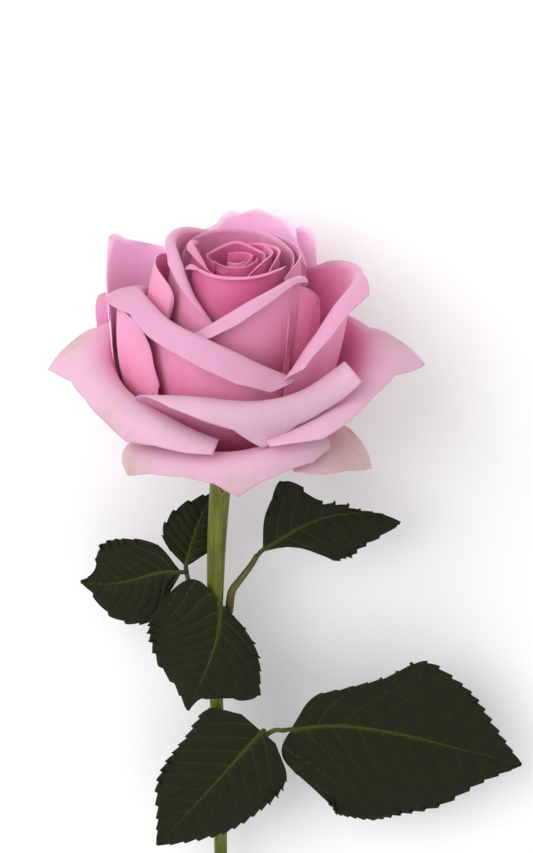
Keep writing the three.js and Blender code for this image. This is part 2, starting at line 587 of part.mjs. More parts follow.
// ---- stem ------------------------------------------------------------------------------
const STEM_STEPS = 14;
const STEM_SIDES = 12;
const STEM_TAPER = 3;           // the end radius is reached at a third of the length
const STEM_BOW = 2.4;           // of the stem's slight bend to one side
const STEM_DRIFT = -3.9;        // x of the cut end
const CUT_DROP = 0.9;           // how far the slanting cut lets the stem's axis sink
const stemTop = fromBloom([0, 0, -HIP_LENGTH - GAP / BLOOM_SIZE]);
const stemEnd = [STEM_DRIFT, -STEM_LENGTH, STEM_END_RADIUS - CUT_DROP];
const stemReach = sub(stemEnd, stemTop);
const onStem = (k) =>
  add(add(stemTop, mul(stemReach, k)), [-STEM_BOW * Math.sin(2 * Math.PI * k) * (1 - k), 0, 0]);
const stemRadius = (k) =>
  STEM_RADIUS + (STEM_END_RADIUS - STEM_RADIUS) * Math.min(1, k * STEM_TAPER);
const stemStations = Array.from({ length: STEM_STEPS + 1 }, (_, i) => i / STEM_STEPS);
place(
  "stem",
  rod(stemStations.map(onStem), stemStations.map(stemRadius), STEM_SIDES, -CUT_SLANT),
  STEM_GREEN,
);

// ---- leaves ------------------------------------------------------------------------------
// The first leaf stands clear of the bloom, and each leaf leaves the stem a distance below
// the first, on its left (-1) or right (1) side. Its points are measured from there, on the
// stem's skin: those of its stalk, and those of each leaflet's midrib. A leaflet also has the
// half widths of its left and right blade from foot to tip, how far those two edges stand
// above the midrib, and how far its right lobe reaches back past its foot.
const FIRST_LEAF = 51 * BLOOM_SIZE;   // down the stem from the hip
const LEAVES = [
  {
    below: 0, side: 1,
    stalk: {
      name: "petiole_right",
      path: [[1.9, 1.2, 0.5], [2.9, 7.8, 1.1], [5.5, 12, 1.7], [8.7, 16.8, 2.8], [10.9, 20.9, 3.8]],
      radii: [1.4, 1.3, 1.15, 1, 0.85],
    },
    leaflets: {
      leaflet_right: {
        rib: [
          [13, 23, 4.4], [21.8, 28.5, 3.7], [31.7, 32.8, 2.5],
          [43.5, 33.6, 0.1], [56.3, 29.5, -2.9],
        ],
        left: [0.5, 7.7, 12.8, 16.5, 6.8, 4.9, 2.2, 1.6, 0.3],
        right: [0.5, 2.7, 6.2, 11.8, 15.1, 15.2, 14.5, 9.3, 0.3],
        lift: [3, -2], lobe: 0,
      },
    },
  },
  {
    below: 3, side: -1,
    stalk: {
      name: "rachis_left",
      path: [[-1.9, -0.2, 0.5], [-3.5, 7.1, 0.8], [-5.4, 13.3, 1.2], [-6.3, 16.8, 1.2]],
      radii: [1.4, 1, 0.8, 0.7],
    },
    leaflets: {
      leaflet_left_low: {
        rib: [
          [-8.2, 17.4, 2], [-15, 17.2, 1.5], [-23.9, 13.8, -0.5],
          [-32.8, 11.7, -2.9], [-40.5, 11.6, -5.5],
        ],
        left: [0.5, 7.3, 13.8, 16.2, 15.8, 14.6, 10.5, 3.5, 0.3],
        right: [0.5, 4.9, 10.9, 14, 14.8, 14.4, 11.9, 3.5, 0.3],
        lift: [-2, 1.5], lobe: 0,
      },
      leaflet_left_high: {
        rib: [
          [-6.5, 19.1, 0.3], [-5, 24.5, -1.9], [-3.1, 30.7, -3.5],
          [-0.3, 36.6, -4.9], [4.5, 42.4, -5.9],
        ],
        left: [0.5, 5.2, 8.8, 10.1, 9.5, 7.9, 5, 2.4, 0.3],
        right: [0.5, 3.2, 5.9, 7.6, 7.8, 6.8, 4.6, 2.4, 0.3],
        lift: [1, -1], lobe: 0,
      },
      leaflet_middle: {
        rib: [[4.5, 7.9, 6.6], [3.9, 0, 7.3], [1.7, -8.7, 6.9], [-1.9, -18.5, 5], [-6.3, -29.6, 1.9]],
        left: [1.3, 4.6, 9, 13.2, 16, 18, 18.2, 3, 0.3],
        right: [18.5, 20.8, 21.6, 21.8, 21.2, 18.9, 14.3, 6, 0.3],
        lift: [-4, -3], lobe: 8,
      },
    },
  },
  {
    below: 65, side: 1,
    stalk: {
      name: "rachis_lower",
      path: [
        [1.9, -0.4, 1.7], [6, 8, 3.3], [11.2, 18, 4.9], [15.5, 22.2, 5.7], [19.6, 22.6, 6.4],
      ],
      radii: [1.5, 1.1, 0.9, 0.8, 0.7],
    },
    leaflets: {
      leaflet_terminal: {
        rib: [[21.4, 23.1, 6.9], [37.5, 24.8, 7.7], [56.6, 21.5, 6.9], [77, 15, 4.1], [97.1, 8.1, 0.7]],
        left: [0.5, 10.1, 13.3, 19.2, 27.8, 23.2, 17.2, 8.7, 0.3],
        right: [15.5, 27, 31.5, 32, 31.4, 28.5, 22.2, 9.6, 0.3],
        lift: [3, -2], lobe: 4,
      },
      leaflet_lower: {
        rib: [
          [11.9, 23.2, 8.9], [4.6, 15.3, 10.3], [-2.9, 6.3, 10.3],
          [-12.1, -5.3, 8.3], [-22.7, -18.7, 4.9],
        ],
        left: [6, 15.9, 18.7, 19.2, 18.2, 16.6, 13.8, 7.8, 0.3],
        right: [9, 17.9, 18.3, 17.3, 17, 16.3, 13.5, 6.5, 0.3],
        lift: [-3, -1.5], lobe: 0,
      },
    },
  },
];
const BLADE = [-1, -0.55, 0, 0.55, 1];
const STALK_SIDES = 8;

function leafBase({ below, side }) {
  const k = (FIRST_LEAF + below) / Math.hypot(...stemReach);
  return add(onStem(k), [side * stemRadius(k), 0, 0]);
}

function leafletGrid(leaflet, base) {
  const foot = leaflet.rib[0];
  const rib = leaflet.rib.map((p) => add(base, add(foot, mul(sub(p, foot), LEAF_SIZE))));
  const end = rib.length - 1;
  const stations = leaflet.left.length - 1;
  return leaflet.left.map((_, i) => {
    const k = (end * i) / stations;
    const along = sub(curveAt(rib, Math.min(k + 0.1, end)), curveAt(rib, Math.max(k - 0.1, 0)));
    const across = unit(cross(along, [0, 0, 1]));
    const bow = Math.sin((Math.PI * i) / stations) * LEAF_SIZE;
    return BLADE.map((v) => {
      const width = (v < 0 ? leaflet.left : leaflet.right)[i] * LEAF_SIZE;
      const lift = (v < 0 ? leaflet.lift[0] : leaflet.lift[1]) * v * v * bow;
      const back = v < 0 ? 0 : leaflet.lobe * Math.sin(Math.PI * v) * Math.max(0, 1 - i / 3) ** 2;
      const blade = add(curveAt(rib, k), mul(across, v * width));
      return add(sub(blade, mul(unit(along), back * LEAF_SIZE)), [0, 0, lift]);
    });
  });
}

for (const leaf of LEAVES) {
  const base = leafBase(leaf);
  const path = leaf.stalk.path.map((p) => add(base, p));
  place(leaf.stalk.name, rod(path, leaf.stalk.radii, STALK_SIDES), PETIOLE_GREEN);
  for (const [name, leaflet] of Object.entries(leaf.leaflets)) {
    place(name, sheet(leafletGrid(leaflet, base), LEAF_THICKNESS), LEAF_GREEN);
  }
}

// ---- set down on the table, centred ------------------------------------------------------
const box = new THREE.Box3().setFromObject(rose);
const centre = box.getCenter(new THREE.Vector3());
for (const mesh of rose.children) mesh.geometry.translate(-centre.x, -centre.y, -box.min.z);

export default rose;
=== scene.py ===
"""A cut rose lying on a pale floor: petals, hip, sepals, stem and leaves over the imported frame.

The bloom has a frame of its own: x to its right, f to its front, z up its axis. The stem and
leaves are in the flower's frame: the row's axes, before the flower is set down centred on the
table. Both are in millimetres. Floor, camera and light are in metres, in the row frame.
"""
import json
import math

import bpy
import numpy as np
from mathutils import Matrix, Vector


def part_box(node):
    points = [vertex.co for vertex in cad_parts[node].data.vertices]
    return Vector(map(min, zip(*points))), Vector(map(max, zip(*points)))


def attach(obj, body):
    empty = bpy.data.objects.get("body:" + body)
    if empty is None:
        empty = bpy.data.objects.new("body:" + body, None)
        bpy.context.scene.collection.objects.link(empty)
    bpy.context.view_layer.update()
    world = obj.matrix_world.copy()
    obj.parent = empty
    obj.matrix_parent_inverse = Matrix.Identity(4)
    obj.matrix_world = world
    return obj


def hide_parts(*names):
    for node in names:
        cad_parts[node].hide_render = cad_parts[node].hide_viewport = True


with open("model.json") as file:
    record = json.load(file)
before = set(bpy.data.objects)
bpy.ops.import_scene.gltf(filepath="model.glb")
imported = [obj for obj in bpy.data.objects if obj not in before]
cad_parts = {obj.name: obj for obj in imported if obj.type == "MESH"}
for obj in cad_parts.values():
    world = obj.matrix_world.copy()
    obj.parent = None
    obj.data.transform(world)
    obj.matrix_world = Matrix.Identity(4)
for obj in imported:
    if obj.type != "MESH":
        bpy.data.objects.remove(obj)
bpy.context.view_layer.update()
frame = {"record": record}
SLOT_OF = {part["node"]: part["material_slot"] for part in frame["record"]["subparts"]}

MM = 0.001

# ---- sizes shared with the CAD model, in millimetres ----
BLOOM_TILT = math.radians(12)      # the bloom looks up from the table
BLOOM_LEAN = math.radians(4)       # and leans to +X
BLOOM_FOOT = np.array([0.0, 0.0, 39.0])
HIP_TOP, HIP_RADIUS, HIP_LENGTH = -0.7, 9.7, 10.4
HIP_PROFILE = [(9.4, HIP_TOP), (HIP_RADIUS, -1.6), (8.6, -4.2), (6.2, -7.6), (4.0, -HIP_LENGTH)]
HIP_SIDES = 24
STEM_RADIUS, STEM_END_RADIUS, STEM_TAPER, STEM_BOW = 3.4, 2.15, 3, 2.4
STEM_END = np.array([-3.9, -238.0, 1.25])
CUT_SLANT = math.radians(-35)
FIRST_LEAF = 51.0                  # down the stem from the hip
GAP = 0.3

# ---- sizes of the looks, in millimetres ----
PETAL_SKIN = 0.36
LEAF_SKIN = 0.34
SEPAL_SKIN = 0.4

FRONT = np.array([0.0, -math.sin(BLOOM_TILT), math.cos(BLOOM_TILT)])
UPRIGHT = np.array([0.0, math.cos(BLOOM_TILT), math.sin(BLOOM_TILT)])
SIDE = np.array([1.0, 0.0, 0.0])
ACROSS = SIDE * math.cos(BLOOM_LEAN) - UPRIGHT * math.sin(BLOOM_LEAN)
ALONG = UPRIGHT * math.cos(BLOOM_LEAN) + SIDE * math.sin(BLOOM_LEAN)
BLOOM_AXES = np.stack([ACROSS, FRONT, ALONG])


def from_bloom(points):
    """Bloom points to the flower's own frame, before it is set down centred on the table."""
    return np.asarray(points, float) @ BLOOM_AXES + BLOOM_FOOT


def revolve(profile, sides):
    """Rings of a profile of (radius, z) about the bloom axis."""
    a = np.arange(sides) * 2 * math.pi / sides
    return np.array([[(r * math.sin(t), r * math.cos(t), z) for t in a] for r, z in profile])


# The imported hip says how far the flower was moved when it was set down.
_hip = from_bloom(revolve(HIP_PROFILE, HIP_SIDES).reshape(-1, 3))
SHIFT = np.array(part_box("receptacle")[0]) / MM - _hip.min(0)


def to_row(points):
    """Millimetres in the flower's own frame to metres in the row frame."""
    return (np.asarray(points, float) + SHIFT) * MM


# ---- petals ----
# How a petal's side view swells between its foot and its crest: two control points, as
# fractions of the way out and of the way up.
BUD = ((1.00, 0.05), (1.30, 0.55))
CUP = ((0.80, 0.05), (1.15, 0.55))
OPEN = ((0.85, 0.05), (0.86, 0.86))
FLAT = ((0.85, 0.00), (0.90, 1.00))
BOWL = ((0.80, 0.04), (1.04, 0.50))
TALL = ((0.85, 0.04), (0.95, 0.50))

# Each petal as in the CAD model: azimuth, radius and half width of its foot, side view,
# the radius its margin rolls on, how far it rolls in degrees, and the stations of its
# crest: azimuth, radius, height, length of the rolled margin. Azimuth 0 is the front.
PETALS = {
    "heart_petal_1": dict(
        az=20, rb=1, half=0.8, side=BUD, roll=1, turn=60, rim=[
            (-120, 1.7, 59.3, 0.3), (-50, 2.7, 60.3, 0.3), (20, 3, 60.6, 0.3), (80, 2.4, 60.4, 0.3),
        ]),
    "heart_petal_2": dict(
        az=150, rb=1.7, half=1.4, side=BUD, roll=1, turn=60, rim=[
            (-150, 5, 59.8, 0.3), (170, 5.2, 61, 0.4), (130, 5, 61.9, 0.4), (95, 4.6, 62.1, 0.4),
            (60, 4.3, 61.6, 0.4), (25, 4.4, 60.4, 0.3),
        ]),
    "heart_petal_3": dict(
        az=-10, rb=2.4, half=1.8, side=BUD, roll=0.8, turn=110, rim=[
            (-100, 6.4, 60, 0.4), (-65, 7, 61.4, 0.6), (-25, 6.9, 60.5, 0.8), (15, 6.8, 60.3, 0.8),
            (50, 6.7, 61.6, 0.6), (80, 6.3, 62, 0.4),
        ]),
    "heart_petal_4": dict(
        az=180, rb=3, half=2, side=BUD, roll=0.8, turn=110, rim=[
            (-50, 8.5, 61.2, 0.4), (-95, 8.9, 61.4, 0.6), (-137, 9, 60.6, 0.8), (-160, 9.1, 60.6, 0.8),
            (178, 9.1, 61.2, 0.8), (150, 9.1, 61.2, 0.8), (125, 9, 61.4, 0.8), (100, 8.8, 61.8, 0.4),
        ]),
    "heart_petal_5": dict(
        az=60, rb=3.6, half=2.2, side=BUD, roll=0.7, turn=120, rim=[
            (125, 9.8, 62.3, 0.4), (95, 10.3, 63.2, 0.8), (66, 10.5, 64, 1), (45, 10.6, 63.4, 1),
            (25, 10.7, 61.3, 1), (8, 11, 58.4, 0.8), (-6, 11.2, 55, 0.4),
        ]),
    "heart_petal_6": dict(
        az=95, rb=4.1, half=2.4, side=BUD, roll=0.7, turn=120, rim=[
            (165, 11.5, 61.4, 0.4), (135, 11.9, 62.4, 1), (105, 12.2, 63.3, 1), (76, 12.4, 63.4, 1),
            (56, 12.5, 62, 1), (46, 12.8, 59.5, 1), (36, 13, 55.5, 0.4),
        ]),
    "curled_heart_petal": dict(
        az=-45, rb=4.6, half=2.6, side=BUD, roll=1, turn=110, rim=[
            (-112, 12.6, 63, 1), (-88, 13, 64.6, 2), (-66, 13.2, 65.2, 3.6), (-50, 13.3, 63.4, 2.6),
            (-38, 13.4, 61, 1.4), (-24, 13.5, 59.6, 1), (0, 13.6, 58.6, 0.8), (25, 13.6, 58, 0.4),
        ]),
    "front_heart_petal": dict(
        az=0, rb=5.1, half=3, side=BUD, roll=1.1, turn=140, rim=[
            (-60, 16.4, 47, 0.4), (-54, 16, 53, 0.6), (-50, 15.8, 58.4, 1), (-53, 15.7, 61.6, 4.2),
            (-42, 15.7, 61.4, 2.4), (-26, 15.8, 61, 2.6), (4, 15.9, 61.6, 2.8), (30, 15.9, 62.4, 2.6),
            (50, 15.7, 62.4, 2.2), (68, 15.4, 61.4, 1), (80, 15.2, 58, 0.4),
        ]),
    "inner_petal_back": dict(
        az=180, rb=5.5, half=3, side=BUD, roll=1.6, turn=110, rim=[
            (72, 17, 61, 0.5), (95, 16.9, 61.4, 1), (125, 17, 61.6, 1.4), (150, 17, 62.4, 1.6),
            (172, 17, 62.2, 1.6), (-167, 17, 62, 1.6), (-145, 17, 61.6, 1.4), (-120, 16.8, 60.6, 1),
            (-100, 16.4, 58.5, 0.5),
        ]),
    "inner_petal_right": dict(
        az=120, rb=5.9, half=3, side=BUD, roll=1.8, turn=110, rim=[
            (195, 18.8, 58, 0.6), (172, 19.2, 60, 1.2), (148, 19.2, 61.6, 1.4), (122, 19, 62.4, 1.4),
            (96, 18.8, 62.8, 1.4), (72, 18.6, 63, 1.4), (52, 18.4, 60.4, 0.6),
        ]),
    "rolled_petal_left": dict(
        az=-85, rb=6.3, half=3, side=BUD, roll=1.4, turn=140, rim=[
            (-172, 20.3, 57.4, 1), (-152, 20.2, 60.4, 2.6), (-128, 19.8, 62.6, 2.6),
            (-100, 18.9, 64, 3.2), (-76, 18.3, 64.6, 4.6), (-61, 18.4, 62.8, 6), (-50, 18.8, 58.8, 5.2),
            (-40, 19.1, 54.6, 4.2), (-27, 19.4, 50.4, 3.2), (-14, 19.8, 46.4, 2), (-2, 20, 42, 0.6),
        ]),
    "tucked_petal_right": dict(
        az=75, rb=6.6, half=3, side=CUP, roll=2, turn=90, rim=[
            (130, 24.4, 38, 0.5), (112, 25.2, 42, 0.7), (94, 25.8, 46, 0.8), (79, 25.6, 51, 0.9),
            (69, 24.6, 55, 1), (61, 22.8, 57.4, 1), (53, 20.8, 57.4, 0.8), (44, 20.2, 53, 0.5),
        ]),
    "rolled_petal_right": dict(
        az=20, rb=7, half=3.2, side=CUP, roll=1.4,
        turn=[60, 60, 60, 90, 120, 150, 150, 145, 140, 140, 140, 140, 140], rim=[
            (56, 21.6, 22, 0.4), (51, 22.2, 32, 0.4), (49, 22.4, 42, 0.5), (46, 22.4, 51, 0.6),
            (48, 22.2, 57, 1.6), (57, 21.8, 60.6, 5), (46, 21.8, 62, 4.4), (33, 21.8, 60.6, 4.8),
            (17, 22, 57.6, 5.8), (1, 22.3, 53.4, 6.6), (-15, 22.7, 48.8, 7), (-29, 23.1, 44, 6.2),
            (-42, 23.2, 39.2, 2),
        ]),
    "tucked_petal_left": dict(
        az=-85, rb=6.9, half=3, side=BUD, roll=2, turn=90, rim=[
            (-130, 22.8, 54, 0.6), (-108, 23.6, 57.2, 0.8), (-86, 24, 58.6, 0.9), (-67, 24, 58, 0.9),
            (-55, 23.6, 55.4, 0.8), (-52, 23.4, 50.6, 0.6), (-54, 23.8, 44, 0.5),
        ]),
    "standing_petal_back": dict(
        az=172, rb=7.2, half=3.2, side=CUP, roll=3, turn=60, rim=[
            (-128, 27.4, 51, 0.8), (-146, 27.8, 55.6, 1.2), (-166, 28, 58.4, 1.2),
            (-175, 28.2, 62.2, 2.2), (178, 28.2, 62.6, 1.2), (168, 28.2, 63.8, 2), (158, 28, 63.6, 1.2),
            (146, 27.7, 62, 2.4), (139, 27.6, 57.6, 1.2), (128, 27.4, 52, 0.8),
        ]),
    "sash_petal": dict(
        az=-35, rb=7.4, half=3.4, side=CUP, roll=2.2,
        turn=[90, 100, 110, 130, 145, 145, 145, 145, 145, 145], rim=[
            (-106, 27, 44, 2), (-92, 27.2, 46.4, 7), (-76, 27.2, 49.2, 14), (-60, 27.3, 49.4, 10),
            (-43, 27.6, 48, 11), (-26, 28, 46.8, 11.5), (-10, 28.2, 44.6, 12.4), (6, 28.5, 41.4, 13),
            (22, 29, 37, 11.5), (36, 29.6, 32.4, 4),
        ]),
    "wing_petal_right": dict(
        az=85, rb=7.6, half=3.4, side=TALL, roll=3.2, turn=[40, 40, 40, 50, 60, 90, 110, 120, 120, 120],
        rim=[
            (142, 30.4, 45, 1), (127, 31.8, 50.6, 1.6), (112, 33.4, 54.6, 2.4), (97, 34.4, 56.4, 4),
            (82, 34.8, 57.6, 5), (67, 35, 57.4, 9.4), (57, 34.6, 54.8, 8), (47, 33.8, 48.4, 8),
            (39, 32.4, 40.8, 7.6), (31, 31.4, 33.4, 2.6),
        ]),
    "cup_petal_left": dict(
        az=-80, rb=7.6, half=3.4, side=BOWL, roll=3, turn=90, rim=[
            (-122, 31.6, 41, 0.6), (-106, 33, 44.6, 0.8), (-89, 34.4, 46.4, 0.8), (-72, 34.8, 47, 0.8),
            (-58, 33.8, 46.4, 0.8), (-50, 32.6, 41.4, 0.8), (-46, 31.8, 35, 0.6), (-42, 30.8, 28.6, 0.4),
        ]),
    "standing_petal_left": dict(
        az=-115, rb=8, half=3.4, side=TALL, roll=3, turn=60, rim=[
            (-158, 31, 45.6, 0.8), (-144, 32.6, 50, 1), (-130, 35.4, 53, 1.2), (-118, 38, 55.6, 1.6),
            (-110, 39.2, 57.6, 3), (-101, 38.6, 53, 2.2), (-91, 37.4, 46.6, 1.8), (-84, 36.8, 40, 1),
        ]),
    "standing_petal_back_right": dict(
        az=150, rb=7.6, half=3.4, side=TALL, roll=4, turn=50, rim=[
            (174, 29.2, 49, 0.8), (162, 30.4, 55, 1), (150, 31.8, 57, 1.2), (140, 33, 59.4, 2.4),
            (133, 33, 50.6, 1.4), (126, 33, 44, 0.8),
        ]),
    "lip_petal_front": dict(
        az=5, rb=8.2, half=3.6, side=OPEN, roll=5,
        turn=[100, 130, 145, 150, 150, 145, 145, 135, 125, 100], rim=[
            (-46, 38.4, 25.4, 0.6), (-36, 37.2, 29.2, 4), (-24, 36.3, 31.2, 8.5), (-12, 35.7, 31.7, 11),
            (2, 35.3, 31.2, 13), (14, 35.3, 31.2, 19.5), (27, 35.6, 32, 13.5), (38, 36.4, 33.8, 12),
            (47, 38.2, 37.2, 12), (54, 41, 41.4, 11),
        ]),
    "wide_petal_left": dict(
        az=-50, rb=8.4, half=3.6, side=OPEN, roll=7,
        turn=[70, 74, 82, 88, 94, 102, 118, 128, 130, 130, 130, 130], rim=[
            (-120, 35.2, 33.8, 0.6), (-108, 35.8, 32.8, 0.8), (-98, 36.4, 31, 5),
            (-93, 36.5, 30.1, 12.5), (-88, 36.6, 29.2, 23.5), (-75, 36.4, 27, 15.4),
            (-62, 36.2, 25.8, 14.2), (-48, 36.3, 25.1, 15), (-36, 36.6, 24.4, 17.4),
            (-24, 37, 23.4, 14), (-12, 37.7, 22, 12), (-3, 38.4, 20.6, 9.5),
        ]),
    "wide_petal_right": dict(
        az=65, rb=8.4, half=3.6, side=OPEN, roll=7.5, turn=[70, 70, 74, 76, 78, 100, 115, 125, 130, 130],
        rim=[
            (122, 36, 38.8, 0.8), (108, 37.4, 38.2, 1), (95, 39, 37.2, 3.8), (89, 39.8, 36.4, 10.5),
            (83, 40.6, 35.6, 21), (71, 41.4, 33.8, 11.5), (58, 41.8, 31.4, 9.6), (46, 42, 29, 10),
            (33, 41.8, 26.2, 10.6), (16, 41, 22.2, 6.5),
        ]),
    "guard_petal_front": dict(
        az=-5, rb=8.6, half=3.6, side=FLAT, roll=6, turn=80, rim=[
            (-46, 37.6, 11.4, 2.4), (-38, 40.2, 13.4, 10.8), (-28, 41, 15.4, 9.2),
            (-15, 41.2, 16.8, 8.9), (-4, 41.2, 17.4, 10.2), (3, 41.2, 18, 14.4),
            (11, 41.2, 19.2, 11.2), (22, 41.2, 21, 9.8), (33, 41.2, 22.2, 9.9), (43, 41.2, 21, 6.2),
        ]),
    "guard_petal_right": dict(
        az=55, rb=8.6, half=3.4, side=FLAT, roll=14, turn=55, rim=[
            (80, 32, 13, 0.8), (69, 34.4, 15.4, 1), (63, 36, 15.9, 7), (57, 37.6, 16.4, 17.5),
            (47, 38, 16, 13.6), (37, 38, 15.2, 11.4), (27, 37.6, 14, 7.6),
        ]),
    "tip_petal_left": dict(
        az=-125, rb=8.4, half=3.4, side=OPEN, roll=8, turn=80, rim=[
            (-155, 35.6, 27, 1.4), (-141, 37.4, 30.6, 2), (-128, 39.2, 33.4, 2.4), (-116, 40.6, 34.4, 6),
            (-105, 40, 31, 2.6), (-95, 38.6, 26, 1.2),
        ]),
    "back_petal_upper": dict(
        az=178, rb=8.2, half=3.4, side=OPEN, roll=5, turn=125, rim=[
            (142, 35, 34.5, 2), (155, 36.5, 38.5, 8), (168, 37, 40.5, 10), (180, 37, 41, 14),
            (-168, 37, 40.5, 10), (-155, 36.5, 38.5, 8), (-142, 35, 34.5, 2),
        ]),
    "back_petal_right": dict(
        az=140, rb=8.5, half=3.4, side=OPEN, roll=7.5, turn=105, rim=[
            (104, 36, 21.8, 2), (118, 38, 24.2, 9), (131, 39, 24.8, 12), (144, 39.4, 24.2, 11),
            (156, 39.2, 23.8, 11.6), (170, 38, 19.8, 3),
        ]),
    "back_petal_left": dict(
        az=-155, rb=8.7, half=3.4, side=FLAT, roll=9, turn=75, rim=[
            (-190, 36, 18, 2), (-176, 38, 20.6, 6), (-164, 39, 22, 9), (-152, 39.4, 22.4, 14.4),
            (-138, 39, 21.6, 11), (-124, 38, 19, 3),
        ]),
    "guard_petal_left": dict(
        az=-95, rb=8.8, half=3.4, side=FLAT, roll=10, turn=60, rim=[
            (-124, 32, 10, 2), (-110, 33.6, 12, 6), (-96, 34, 13, 8), (-82, 33.6, 12.6, 6),
            (-68, 32.6, 11, 2),
        ]),
}

# Each leaf as in the CAD model, measured from where it leaves the stem, which is "below"
# the first leaf. A leaflet's joint is the way its own short stalk takes from the leaf's
# stalk to the foot of the blade. Its rib is its midrib, left and right are the widths of its
# sides at even steps along it, lift is how far each side rises, and lobe is how far the
# right side reaches back past the foot.
LEAVES = [
  {
    "below": 0, "side": 1,
    "stalk": {
      "name": "petiole_right",
      "path": [[1.9, 1.2, 0.5], [2.9, 7.8, 1.1], [5.5, 12, 1.7], [8.7, 16.8, 2.8], [10.9, 20.9, 3.8]],
      "radii": [1.4, 1.3, 1.15, 1, 0.85],
    },
    "leaflets": {
      "leaflet_right": {
        "joint": [[10.4, 20, 3.6]],
        "rib": [
          [13, 23, 4.4], [21.8, 28.5, 3.7], [31.7, 32.8, 2.5],
          [43.5, 33.6, 0.1], [56.3, 29.5, -2.9],
        ],
        "left": [0.5, 7.7, 12.8, 16.5, 6.8, 4.9, 2.2, 1.6, 0.3],
        "right": [0.5, 2.7, 6.2, 11.8, 15.1, 15.2, 14.5, 9.3, 0.3],
        "lift": [3, -2], "lobe": 0,
      },
    },
  },
  {
    "below": 3, "side": -1,
    "stalk": {
      "name": "rachis_left",
      "path": [[-1.9, -0.2, 0.5], [-3.5, 7.1, 0.8], [-5.4, 13.3, 1.2], [-6.3, 16.8, 1.2]],
      "radii": [1.4, 1, 0.8, 0.7],
    },
    "leaflets": {
      "leaflet_left_low": {
        "joint": [[-6.6, 17.2, 1.3]],
        "rib": [
          [-8.2, 17.4, 2], [-15, 17.2, 1.5], [-23.9, 13.8, -0.5],
          [-32.8, 11.7, -2.9], [-40.5, 11.6, -5.5],
        ],
        "left": [0.5, 7.3, 13.8, 16.2, 15.8, 14.6, 10.5, 3.5, 0.3],
        "right": [0.5, 4.9, 10.9, 14, 14.8, 14.4, 11.9, 3.5, 0.3],
        "lift": [-2, 1.5], "lobe": 0,
      },
      "leaflet_left_high": {
        "joint": [[-6.2, 16.6, 1.0]],
        "rib": [
          [-6.5, 19.1, 0.3], [-5, 24.5, -1.9], [-3.1, 30.7, -3.5],
          [-0.3, 36.6, -4.9], [4.5, 42.4, -5.9],
        ],
        "left": [0.5, 5.2, 8.8, 10.1, 9.5, 7.9, 5, 2.4, 0.3],
        "right": [0.5, 3.2, 5.9, 7.6, 7.8, 6.8, 4.6, 2.4, 0.3],
        "lift": [1, -1], "lobe": 0,
      },
      "leaflet_middle": {
        "joint": [[-5.6, 12.6, 1.4], [-3.2, 11.6, 3.4], [1.2, 10.2, 5.4]],
        "rib": [[4.5, 7.9, 6.6], [3.9, 0, 7.3], [1.7, -8.7, 6.9], [-1.9, -18.5, 5], [-6.3, -29.6, 1.9]],
        "left": [1.3, 4.6, 9, 13.2, 16, 18, 18.2, 3, 0.3],
        "right": [18.5, 20.8, 21.6, 21.8, 21.2, 18.9, 14.3, 6, 0.3],
        "lift": [-4, -3], "lobe": 8,
      },
    },
  },
  {
    "below": 65, "side": 1,
    "stalk": {
      "name": "rachis_lower",
      "path": [
        [1.9, -0.4, 1.7], [6, 8, 3.3], [11.2, 18, 4.9], [15.5, 22.2, 5.7], [19.6, 22.6, 6.4],
      ],
      "radii": [1.5, 1.1, 0.9, 0.8, 0.7],
    },
    "leaflets": {
      "leaflet_terminal": {
        "joint": [[18.4, 22.6, 6.2]],
        "rib": [
          [21.4, 23.1, 6.9], [37.5, 24.8, 7.7], [56.6, 21.5, 6.9],
          [77, 15, 4.1], [97.1, 8.1, 0.7],
        ],
        "left": [0.5, 10.1, 13.3, 19.2, 27.8, 23.2, 17.2, 8.7, 0.3],
        "right": [15.5, 27, 31.5, 32, 31.4, 28.5, 22.2, 9.6, 0.3],
        "lift": [3, -2], "lobe": 4,
      },
      "leaflet_lower": {
        "joint": [[13.4, 20.2, 5.2], [12.8, 22.2, 7.2]],
        "rib": [
          [11.9, 23.2, 8.9], [4.6, 15.3, 10.3], [-2.9, 6.3, 10.3],
          [-12.1, -5.3, 8.3], [-22.7, -18.7, 4.9],
        ],
        "left": [6, 15.9, 18.7, 19.2, 18.2, 16.6, 13.8, 7.8, 0.3],
        "right": [9, 17.9, 18.3, 17.3, 17, 16.3, 13.5, 6.5, 0.3],
        "lift": [-3, -1.5], "lobe": 0,
      },
    },
  },
]

# Where a petal's margin has aged: station along the crest, how far the stain reaches in
# millimetres, how green and how brown it is.
STAINS = {
    "wide_petal_left": [(3, 9, 0.5, 0.5), (7, 8, 0.35, 0.2)],
    "wide_petal_right": [(3, 7, 0.35, 0.3)],
    "guard_petal_front": [(1, 12, 0.7, 0.35), (5, 9, 0.5, 0.15), (9, 10, 0.5, 0.1)],
    "guard_petal_right": [(2, 30, 0.9, 0.0), (2, 6, 0.4, 1.0), (4, 18, 0.8, 0.1)],
    "standing_petal_left": [(4, 4, 0.2, 0.5)],
    "sash_petal": [(2, 3, 0.1, 0.4)],
    "back_petal_upper": [(3, 9, 0.4, 0.2)],
    "back_petal_left": [(3, 12, 0.5, 0.3)],
    "back_petal_right": [(2, 10, 0.5, 0.2)],
    "guard_petal_left": [(2, 12, 0.7, 0.3)],
}


# ---- curves and grids ----
def unit(v):
    """The vectors at a length of 1."""
    return v / np.maximum(np.linalg.norm(v, axis=-1, keepdims=True), 1e-12)


